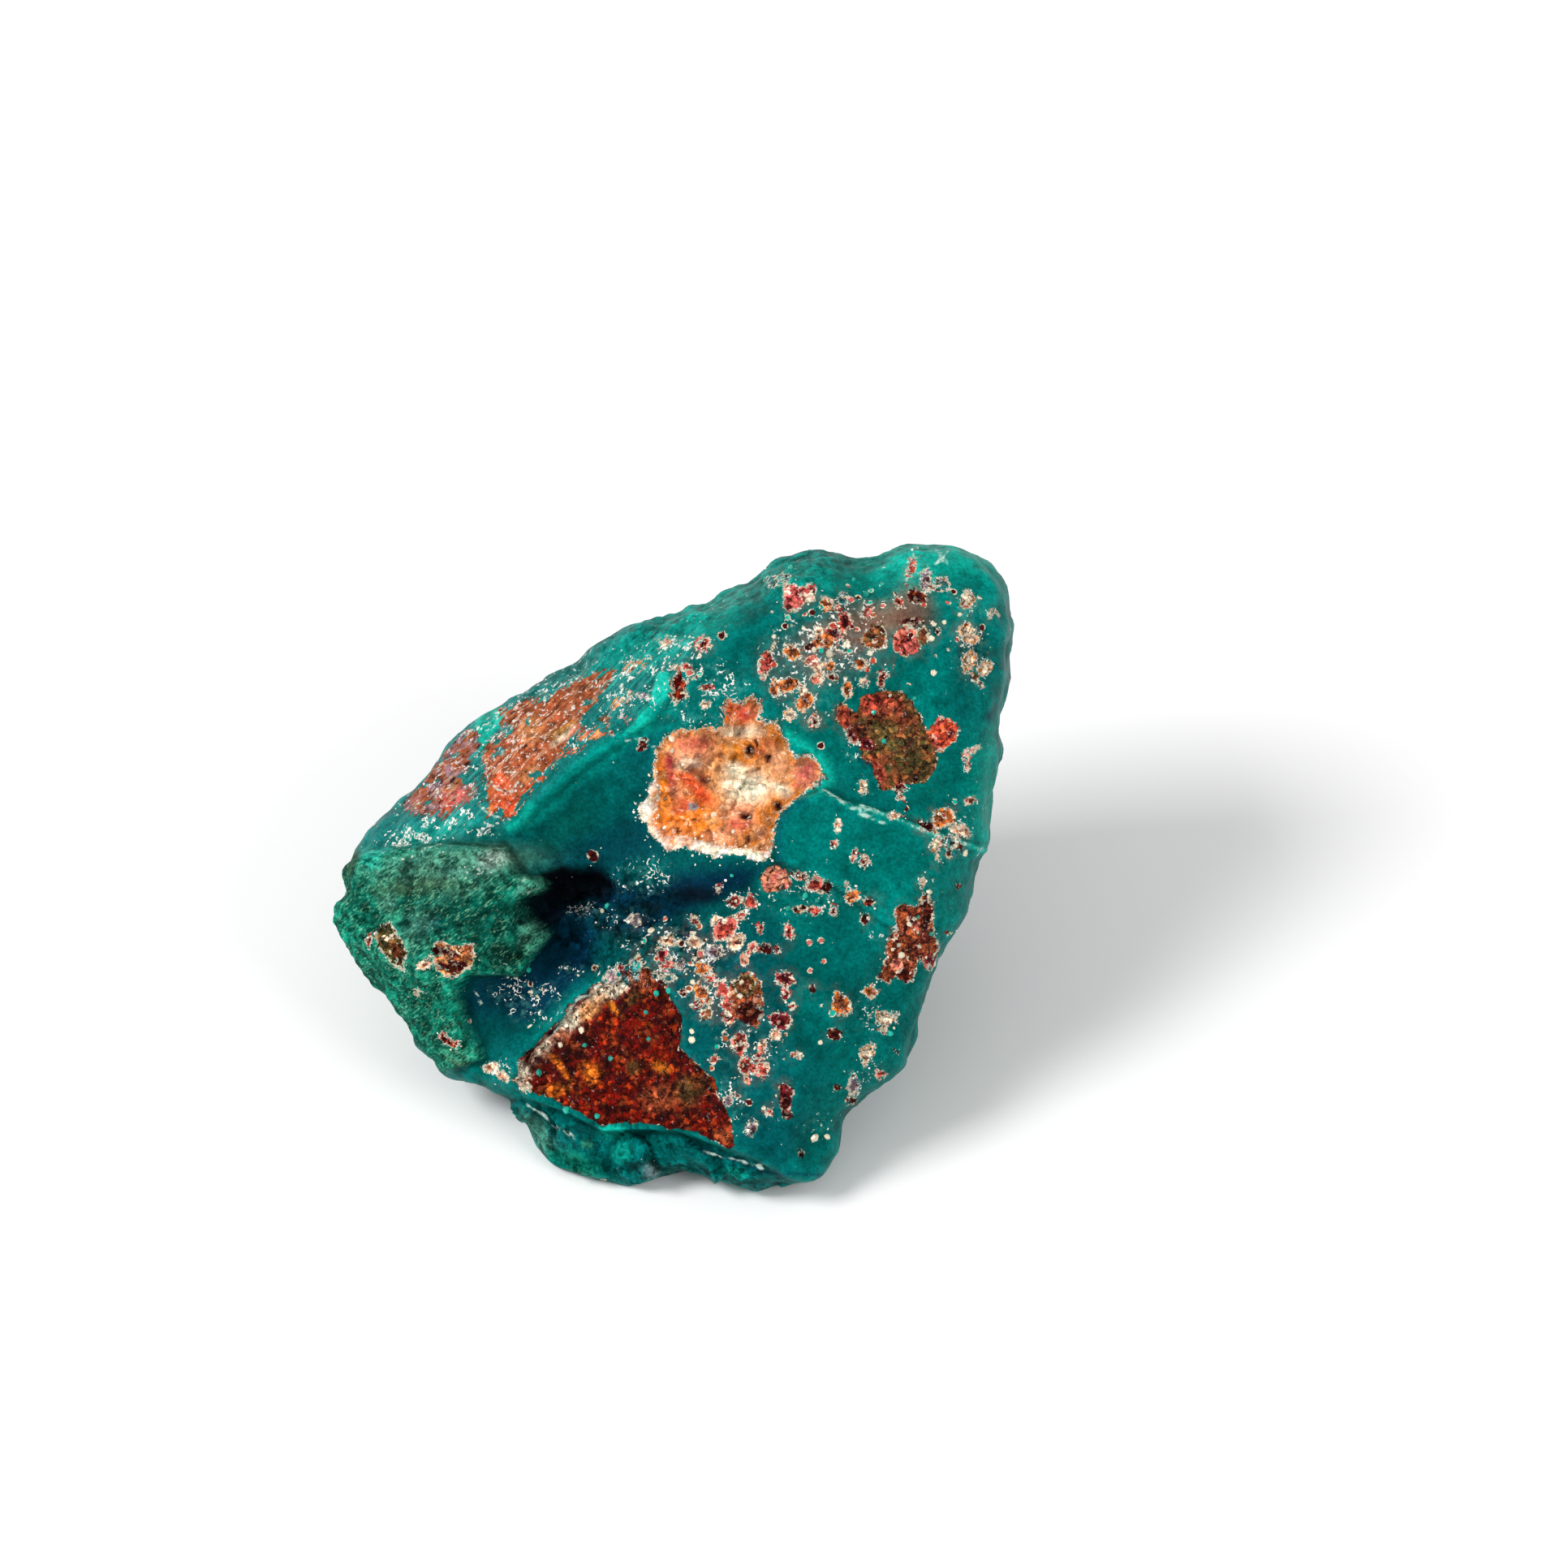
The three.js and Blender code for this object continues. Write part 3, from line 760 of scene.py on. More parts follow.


# Washes over the teal of the show face, one over the other in this order. The black is painted shadow in
# the cavity, pockets, gaps and crevices; the deep teal, dark teal and navy of the dark face and the gully are
# partly the silicate's own darker blue and partly painted shade; the lighter teal along the ridge is painted
# light, and the paler teeth are partly painted light.
BODY_WASHES = (
    *blots(
        (Tint.TEAL_LIGHT, .35, 15, 3, 9, 9), (Tint.TEAL_LIGHT, .75, 17, 19, 6, 3),
        (Tint.TURQUOISE, .45, 17.6, 20, 5, 1.4), (Tint.TEAL_LIGHT, .5, 9, 19.5, 3, 1.6),
        (Tint.TURQUOISE, .35, 20.4, 6, 1.2, 6, 4), (Tint.TEAL_DEEP, .5, 12.4, 4.6, 3, 1.4, -20),
        (Tint.TEAL_DEEP, .3, 10.5, -6.5, 3.4, 3.6), (Tint.TEAL_DEEP, .6, 19.6, 11, 1.4, 4),
        (Tint.RUST, .45, 15.6, 16.9, 1.3, 1.5), (Tint.RUST, .4, 13.6, 16.5, 1.9, .9, -15),
        (Tint.MAROON, .35, 15.9, 16.7, 1.4, 1.3), (Tint.RUST, .35, 11.6, 15.2, 2.8, 1.3, 10),
        (Tint.BROWN, .3, 11.6, 15.4, 2.8, 1.2, 10), (Tint.MAUVE, .2, 9.6, 13.8, 3.6, 2, 10)),
    Wash(Tint.TEAL_GREY, .3, 1.2, STREAKED_FACE),
    *blots(
        (Tint.TEAL_LIGHT, .9, .4, 15.9, 6, 2, 30), (Tint.TURQUOISE, .35, .4, 15.9, 6, 1.6, 30),
        (Tint.TURQUOISE, .5, -16.5, 1.7, 3.6, .8, 20), (Tint.TEAL_LIGHT, .6, -4.6, 13.4, 5, 1.4, 32),
        (Tint.TURQUOISE, .3, 12, 19.6, 9, 1.6, 8)),
    # The dark face under the ridge: partly the silicate's own darker blue, partly painted shade where it
    # turns from the light.
    Wash(Tint.TEAL_DEEP, .95, 1.2, Outline((
        (-.6, 10), (-1.7, 9.3), (-5.5, 6.8), (-9.2, 3.6), (-10.6, 2), (-9, 0), (-4, -1.6), (1, -1.8),
        (6, -.4), (6.2, .8), (-.6, 1.1), (-2.3, 3.3), (-1.5, 6)))),
    *blots(
        (Tint.CHALK_DARK, .5, -7.2, 2.6, 2.6, 1.6, 40), (Tint.TEAL_DARK, .8, -4, .8, 4.4, 2, 20),
        (Tint.TEAL_DARK, .7, -2.6, 4.4, 1.6, 3, -20)),
    Wash(Tint.TEAL_DARK, .55, 2.2, Outline((
        (-3.9, -2.9), (1.5, -3.4), (5.3, -2.4), (7.4, -4.5), (7.4, -12.6), (8.6, -18), (6.9, -20.1),
        (4.2, -18.2), (3.1, -14.7), (.4, -12.6), (.2, -9.4), (-1.7, -6.7), (-3.9, -6.7), (-6, -8),
        (-7.1, -6.1)))),
    Blot(Tint.TEAL_DEEP, Oval(.7, 8, -14, 2.2, 3.4)),
    # The gully and the band under the vug: navy, partly the silicate's own and partly painted shade.
    Wash(Tint.NAVY, .9, 1.6, Outline((
        (-8.4, -1.2), (-4.7, -.6), (-1.7, -.6), (1.5, -.4), (5.5, .1), (5, -1.6), (1.5, -3),
        (-1.7, -4.5), (-4.7, -4), (-5.5, -6.8), (-8.4, -9.8), (-11, -11), (-13, -11), (-14.1, -9.1),
        (-13, -7.2), (-10.3, -6.9), (-8.6, -4.5), (-9.5, -2.9)))),
    # the black here is painted shadow in pockets under the vug and in the gully
    *blots(
        (Tint.TEAL, .5, -2, -.6, 2.2, 1), (Tint.SHADE_BLACK, .8, 1.4, -1.9, 1.5, .6),
        (Tint.SHADE_BLACK, .85, -1.7, -2.7, 1, .4), (Tint.SHADE_BLACK, .8, -4.3, -3.9, 1.1, .7),
        (Tint.NAVY, .8, .9, -4.7, .6, .8), (Tint.TEAL_DEEP, .8, -11.6, -11.2, 2.6, 1.6, -35),
        (Tint.TEAL_DARK, .7, -4, -3.4, 2.4, .8, 10), (Tint.TEAL_DARK, .6, -12.4, -8.6, 1.1, 1.6)),
    # Painted shadow: black in the cavity, beside the lump and along the lump's edge, where the lump shades
    # the hollow.
    Wash(Tint.SHADE_BLACK, 1, .7, Outline((
        (-8.7, -.4), (-7.4, 0), (-6.2, -.4), (-4.8, -.3), (-4.1, -1.3), (-4.5, -2.4), (-6, -2.2),
        (-7, -2.8), (-8.6, -2.2)))),
    Blot(Tint.SHADE_BLACK, Oval(.95, -10.6, .6, .5, .35, -20)),
    Vein(Tint.SHADE_BLACK, .9, .22, Line(((-11.2, 1.4), (-10.3, .3), (-9.9, -.6), (-8.9, -.8)))),
    # Painted shadow in small black pockets; the navy here is partly the silicate's own and partly painted
    # shade.
    *blots(
        (Tint.SHADE_BLACK, .5, -3.2, -4.6, .8, .45, -40), (Tint.SHADE_BLACK, .8, -5.7, -17.4, 1, .6),
        (Tint.NAVY, .7, 12.9, 6.9, 1.1, .6, -50), (Tint.NAVY, .6, 20.7, 9.9, .4, .6),
        (Tint.NAVY, .35, 18.2, 4, .8, .4), (Tint.NAVY, .35, 2.6, -6, 2.4, 1.4)),
    Wash(Tint.CHALK_GREEN, 1, .4, LUMP),
    *blots(
        (Tint.CHALK_GREY, .9, -14.5, .1, 5.5, 1.2, 4), (Tint.OLIVE, .6, -16.9, -1.4, 3.2, .7, 4),
        (Tint.CHALK_GREY, .6, -14.2, -1.8, 2, .5, 15), (Tint.CHALK_DARK, .85, -14, -3.4, 3.6, 1.5, -12),
        (Tint.TEAL_DARK, .8, -16.6, -3.9, 1.5, .8, 10), (Tint.PALE_GREEN, .5, -18.6, -3.2, .8, .5),
        # the black in this row is painted shadow in the lump's pocket
        (Tint.CHALK_DARK, .6, -11.2, -3.4, 1.4, 2.2), (Tint.SHADE_BLACK, .9, -11.3, -6, .9, 1, 20),
        (Tint.CHALK_GREY, .9, -19, -2.4, .7, .6), (Tint.CHALK_DARK, .8, -20.9, -2.6, .9, .5),
        (Tint.CHALK_GREY, .45, -17.2, -4.4, 1.2, 2, -30), (Tint.CHALK_GREY, 1, -11.9, .4, 1, .8),
        (Tint.WHITE, .35, -11.9, .4, .95, .75), (Tint.PALE_GREEN, .7, -14.6, -12.3, 1.1, .4),
        (Tint.OLIVE, .5, -14.4, -12.9, .9, .3), (Tint.OLIVE, .6, -21.4, .2, .5, 1.2, -30),
        (Tint.TURQUOISE, .8, -20.2, .6, .7, .8)),
    # Painted light: lighter teal along the ridge, where its rounded top turns to the light.
    Wash(Tint.TEAL_LIGHT, .85, .9, Outline((
        (-1.7, 9.9), (-5.5, 7.5), (-9.2, 4.3), (-11.2, 2.6), (-9.6, 2.2), (-8.2, 3.6), (-5.2, 5.9),
        (-2.4, 8.3), (-.9, 9.2)))),
    # Painted shadow in the gap between the lump's teeth.
    Wash(Tint.SHADE_BLACK, .85, .4, Outline((
        (-10, -2.1), (-9.3, -1.8), (-8.5, -1.7), (-7.4, -2), (-7.5, -3.8), (-8.3, -4.1), (-9, -3.6),
        (-9.8, -3.2)))),
    # The teeth: paler grey-green, partly their own colour and partly painted light, with painted highlights
    # along their edges.
    *(Wash(Tint.CHALK_GREY, .6, .2, tooth) for tooth in TEETH),
    Vein(Tint.PALE_GREEN, .8, .12, Line((
        (-9.8, -.9), (-8.9, -.9), (-8.5, -1.1), (-8.9, -1.6), (-9.7, -1.8)))),
    Vein(Tint.PALE_GREEN, .8, .12, Line((
        (-9.5, -3.5), (-8.9, -3.9), (-8.4, -4.3), (-8.9, -5), (-9.9, -5.3)))),
    # Lighter teal over the middle of the dark face, which eases its painted shade.
    Blot(Tint.TEAL, Oval(.7, -3.8, 5, 2.6, 2, 40)),
    Wash(Tint.TURQUOISE, 1, .3, FINGER),
    Blot(Tint.TEAL_LIGHT, Oval(.9, -.9, 10.3, 1.2, .7)),
    Wash(Tint.TURQUOISE, 1, .3, Outline((
        (-13.2, 10.1), (-11.9, 10.6), (-11.4, 10.1), (-11.8, 9.1), (-12.4, 8.1), (-12.7, 7.2), (-13, 8),
        (-13.1, 9.2)))),
    Vein(Tint.TEAL, .95, .25, Line(((-13.3, 6.5), (-12.7, 5.8), (-12.4, 4.7)))),
    Vein(Tint.TURQUOISE, .8, .3, Line(((-9.5, 4), (-9.9, 2.9), (-11, 2.4)))),
    Vein(Tint.TURQUOISE, .75, .4, Line(((7.6, 8.6), (8.8, 7.7), (10, 6.6), (10.2, 5.6), (8.6, 4.9)))),
    Vein(Tint.TURQUOISE, .7, .14, CRACK),
    Vein(Tint.TURQUOISE, .5, .12, Line(((12.2, 3.5), (13.8, 2.7)))),
    Vein(Tint.NAVY, .55, .35, Line(((8.6, 4.4), (7.4, 3.6), (6.8, 2.2), (6.9, .3)))),
    Wash(Tint.TEAL_DEEP, .5, 1, BOTTOM_LOBE),
    *blots(
        (Tint.CHALK_GREY, .6, -9.1, -17.9, .9, 1.7, 35), (Tint.CHALK_GREEN, .8, -6.8, -19.7, 2.2, .8, -15),
        (Tint.TURQUOISE, .9, -4.1, -17.5, .9, .5), (Tint.TURQUOISE, .7, -3.5, -18.9, .6, .6),
        # the black in this row is painted shadow in a crevice of the lobe
        (Tint.PALE_GREEN, .8, -5.8, -18.4, .3, .22), (Tint.SHADE_BLACK, .85, -2.6, -19.8, .5, .22, 50),
        (Tint.GREY, .6, -1.6, -20.1, .5, .6), (Tint.CHALK_DARK, .8, .2, -20.2, 1, .3)),
    Vein(Tint.NAVY, .6, .16, Line(((1.5, -18.5), (3, -19.1), (4.4, -19.6), (7, -20.3), (10, -20.3)))),
    Blot(Tint.TURQUOISE, Oval(.5, 4, -20.3, 1, .3)))

# Colours that stain the patches wherever they meet them.
STAINS = blots(
    (Tint.ORANGE, 1, .2, 2.9, 2, 2, -30), (Tint.AMBER, .8, -1, 5, .6, 2),
    (Tint.ORANGE, .9, -.7, 6.7, .5, .7), (Tint.SALMON, 1, 1.2, 7.5, 1.7, 1.6, 10),
    (Tint.CREAM, .7, 1, 6.6, .8, .5), (Tint.CRIMSON, 1, -.2, 6.2, .35, 1.4, 3),
    (Tint.BRICK, .8, 1.2, 8.1, 1.3, .5, -8), (Tint.AMBER, .9, .9, 9, .8, .4),
    (Tint.MAROON, .6, 1.9, 8.4, .5, .3), (Tint.SALMON, .7, .2, 4.9, .6, .5),
    # Painted shadow: the brown wedge in this row and, two rows on, the maroon just above the flame-coloured
    # wedge.
    (Tint.HONEY, 1, 3, 5.6, .9, 1.7, 8), (Tint.BROWN, 1, 1.5, 5.9, .9, .5, -35),
    (Tint.FLAME, 1, 1.5, 4.9, 1.7, .5, -40), (Tint.FLAME, 1, 1.5, 4.9, 1.3, .35, -40),
    (Tint.MAROON, 1, 1.9, 5.5, .7, .3, -40), (Tint.BRICK, .8, .6, 4, .7, .6, -30),
    (Tint.CREAM, 1, 4.8, 5.3, 1.7, 1.3, -6), (Tint.CREAM, .9, 3.9, 6.4, .8, .5),
    (Tint.OCHRE, .2, 4.4, 7.4, 1.1, .9), (Tint.AMBER, .9, 5.2, 7.4, 1.2, 1), (Tint.RUST, 1, 6, 7.7, 1, .8),
    (Tint.BROWN, .9, 6.2, 7.1, .5, .4), (Tint.MAROON, 1, 5, 7.6, .5, .3, 15),
    (Tint.CREAM, .8, 4.3, 8.8, 1.6, .45), (Tint.HONEY, .8, 6.7, 6.7, .9, 1.2, 20),
    (Tint.CREAM, .8, 7, 5, .7, .4, -20), (Tint.FLAME, .7, 3.7, 10.2, .6, .8),
    (Tint.BRICK, 1, 4.8, 10.1, 1, .8), (Tint.PINK, 1, 8.6, 6, .9, 1.1, 15),
    (Tint.SALMON, .9, 4.4, 3.3, 1.5, .9), (Tint.BRICK, .8, 4.2, 2.7, .9, .5, 20),
    (Tint.MAROON, .9, 4.6, 3.3, .4, .3), (Tint.MAROON, .8, 4.8, 1.8, .3, .3),
    (Tint.MAUVE, .4, 6.9, 6.6, .6, .9, 20), (Tint.AMBER, .8, 5.8, 3.2, .6, .9),
    (Tint.SALMON, .8, 3, 1.9, 1.2, .7), (Tint.BROWN, .5, 4.9, 2.2, .7, .6),
    (Tint.MAUVE, .5, 5.7, 2.2, .5, .4), (Tint.SALMON, .7, 6, 1.2, .5, .6),
    (Tint.GARNET, .5, -7.6, -13.6, 1.4, 1.3, 20), (Tint.GARNET, .8, -6.4, -12.3, 1.3, .6, 30),
    (Tint.GARNET, .7, -7.9, -10.6, .8, .5, 40), (Tint.CREAM, 1, -4.3, -8.3, 1.6, .5, 28),
    (Tint.CREAM, 1, -8.7, -12.1, 1, .45, 50), (Tint.CREAM, 1, -6.9, -10.2, 1.2, .45, 48),
    (Tint.ORANGE, .9, -7.6, -13.2, 1.3, .25, -50), (Tint.ORANGE, .8, -5.4, -13.6, .7, .7),
    (Tint.ORANGE, .7, -8.1, -14.9, 1.3, .4, 10), (Tint.RUBY, .8, -9, -14, 1, .6, 30),
    (Tint.CREAM, 1, -10.2, -13.6, .7, .6), (Tint.GARNET, 1, -8.9, -12.9, .8, .6),
    (Tint.RUST, .8, -.9, -15.4, 1.2, 1), (Tint.AMBER, .8, -.8, -13.3, .6, .4),
    (Tint.OLIVE, .7, .9, -14.8, .9, 1, -25), (Tint.DARK_OLIVE, .6, 2, -14.4, .5, .7),
    (Tint.SALMON, .9, -7.5, -11.2, .8, .4, 30), (Tint.GARNET, 1, -6.4, -11.7, 1.7, .7, 35),
    (Tint.HONEY, 1, -5.5, -9.4, 1.2, .45, 40), (Tint.AMBER, .9, -4, -9.3, .25, .8, 40),
    (Tint.OLIVE, .6, -2.7, -8.6, .4, .8, -40), (Tint.RUST, .8, -2, -7.6, .8, .7),
    (Tint.OLIVE, .7, -2.8, -13.3, .5, .6), (Tint.RUST, .8, 3.4, -17.7, .6, .5),
    (Tint.BRICK, .9, 13.2, 10.6, 1.8, .8, -15), (Tint.BRICK, .8, 13.2, 6.2, .5, 1, 40),
    (Tint.MAROON, .8, 12.2, 9, .8, 1, 30), (Tint.MAROON, .7, 15.5, 10, .7, .9),
    (Tint.DARK_OLIVE, .9, 15.6, 7, 1.2, 1.7), (Tint.OLIVE, .8, 13.7, 8.8, .9, 1.1),
    (Tint.BRICK, .9, 11.1, 9.8, .6, .7, 20), (Tint.RUST, .7, -9.6, 7, 1.6, 1.2, 40),
    (Tint.FLAME, .95, -11, 3.9, 1.2, .7, 5), (Tint.AMBER, .9, -12.3, 3.8, .4, .5),
    (Tint.FLAME, .7, -9.5, 5.2, 1, .4, 50), (Tint.FLAME, .9, -11.4, 5.5, .4, .6),
    (Tint.OCHRE, .6, -7.4, 8.9, 1, .45, 25), (Tint.BROWN, .7, -6.6, 11.2, 1.9, .8, 35),
    (Tint.HONEY, .6, -9.6, 9, 1, .8, 40), (Tint.CREAM, .6, -7.4, 8.5, 1, .3, 40),
    (Tint.PINK, .6, -6.6, 8.9, .6, .3, 40), (Tint.MAROON, .7, -10.9, 9.2, .35, .5),
    (Tint.HONEY, .5, -9.6, 6, .8, .5, 40), (Tint.BRICK, 1, -14.7, 4.3, 1, .7, 10),
    (Tint.PINK, .7, -14.4, 4.6, .7, .4, 10), (Tint.RUST, .8, -16.9, 4.6, .6, .6, 40))

PATCHES = (
    Patch("vug", VUG, Tint.AMBER, Tint.HONEY, 1, 0, .8),
    Patch("fringe of the vug", FRINGE, Tint.CREAM, Tint.WHITE, .6, 0, .3),
    Patch("rust on the streaked face", Outline((
        (-11.6, 10.5), (-10, 10.8), (-8.5, 11.2), (-7.4, 11.8), (-6.1, 12.4), (-4.6, 12.8), (-4, 13.2),
        (-4.1, 12.4), (-4.7, 11.3), (-5.3, 10.7), (-6.2, 9.9), (-6.2, 9.1), (-6.7, 8.2), (-7.2, 7.4),
        (-8.9, 5.7), (-10, 4.6), (-10.3, 3.4), (-11.5, 3), (-12.5, 3.4), (-12.6, 3.9), (-12.1, 4.6),
        (-12.2, 5.2), (-13, 6.8), (-12.3, 7.8), (-11.6, 8.7))), Tint.RUST, Tint.BROWN, .5, 0, .08),
    Patch("streak beside it", Outline(((-6.2, 8.7), (-3.8, 9), (-5.5, 8.1), (-7.6, 7))),
          Tint.HONEY, Tint.BRICK, .4, 0),
    Patch("maroon on the streaked face", Outline((
        (-13.8, 9.5), (-13.1, 9), (-13, 7.8), (-13.5, 6.9), (-13.9, 5.6), (-13, 5.6), (-13.5, 4.2),
        (-14.7, 3.2), (-16, 3.6), (-17.2, 3.4), (-18.3, 3.9), (-17, 5.2), (-16.1, 6.4), (-15.3, 7.3),
        (-14.2, 8.9))), Tint.BROWN, Tint.MAUVE, .2, 0),
    Patch("slot", Outline(((-.2, 12.3), (.3, 13), (.8, 12), (.7, 11.1), (.2, 10.6), (-.2, 11.1))),
          Tint.RUBY, Tint.MAROON, .9, .35),
    Patch("brown patch", Outline((
        (12.4, 11.2), (13.9, 11.5), (14.9, 11.5), (15.6, 10.6), (16.3, 9.5), (17.1, 8.1), (17.2, 7),
        (17, 6.2), (16.6, 5.4), (15.2, 5.2), (14.8, 4.4), (14.2, 5.2), (13.6, 4.9), (13.2, 6), (12.5, 7),
        (11.9, 8.1), (11.2, 8.9), (10.5, 9.5), (10.5, 10.5), (10.9, 10.8), (12, 10))),
          Tint.BROWN, Tint.OLIVE, .35, .1, .2),
    Patch("red nodule beside it", Outline((
        (17.1, 9.5), (17.6, 9.8), (18.4, 9.6), (18.7, 8.7), (18.3, 8), (17.5, 7.6), (16.9, 8.1),
        (16.8, 8.9))), Tint.BRICK, Tint.FLAME, .6),
    Patch("pink, top", Outline((
        (7.2, 18.5), (7.8, 18.5), (8.2, 18.2), (9.1, 18.4), (9.1, 17.4), (8.5, 17.3), (8, 16.7),
        (7.3, 17), (7.2, 17.6))), Tint.PINK, Tint.CRIMSON, 1),
    Patch("brown lens", Outline((
        (12.1, 14.8), (12.8, 15.6), (13.6, 15.9), (14.2, 15.3), (14, 14.5), (13.2, 14.1), (12.4, 14.3))),
          Tint.BROWN, Tint.OLIVE, .9, .2),
    Patch("bright pink", Outline((
        (14.5, 15.2), (15.2, 15.7), (15.9, 15.3), (16.2, 14.6), (15.8, 13.9), (15.1, 13.7), (14.6, 14.2))),
          Tint.PINK, Tint.BRICK, .5),
    Patch("orange brown, right", Outline((
        (16.5, -1.9), (17, -2.5), (17.1, -4.5), (17.3, -5.5), (17, -6.6), (16.2, -6.2), (15.6, -7.5),
        (14.6, -7.3), (14, -7.8), (13.3, -7.3), (13.9, -6), (14.1, -4.8), (14.8, -3.9), (14.4, -3.1),
        (14.8, -2.6), (15.9, -2.7))), Tint.RUST, Tint.MAROON, .8, .1, .5),
    Patch("pink, round", Outline((
        (5.5, -.8), (5.9, 0), (6.6, .2), (7.3, -.2), (7.5, -1), (7, -1.7), (6, -1.7))),
          Tint.SALMON, Tint.PINK, .5),
    Patch("orange brown, middle", Outline((
        (3.6, -7.8), (4.1, -7.1), (5, -6.9), (5.7, -7.5), (5.8, -9.1), (5.5, -10.5), (4.7, -10.4),
        (4, -9.9), (3.5, -8.8))), Tint.BROWN, Tint.RUST, .5, .1, .5),
    Patch("low slot", Outline((
        (6.8, -14.4), (7.5, -14.2), (7.9, -15), (7.7, -16), (7.2, -16.7), (6.9, -15.6))),
          Tint.MAROON, Tint.CRIMSON, .5, .35),
    Patch("ruby basin", RUBY_BASIN, Tint.RUBY, Tint.GARNET, .2, 0, .7),
    Patch("holes in the lump", Outline((
        (-15.9, -5.5), (-15.3, -5.1), (-14.3, -5.1), (-13.1, -5.2), (-13.1, -6), (-13.7, -7), (-14.6, -7.5),
        (-15.6, -7), (-15.9, -6.2))), Tint.HONEY, Tint.RUST, 1, .2),
    Patch("lens in the lump", Outline((
        (-19.6, -4), (-18.9, -3.6), (-18.2, -4.6), (-17.7, -5.8), (-17.8, -6.9), (-18.6, -6.5),
        (-19.4, -5.4))), Tint.OLIVE, Tint.DARK_OLIVE, .9, .25),
)

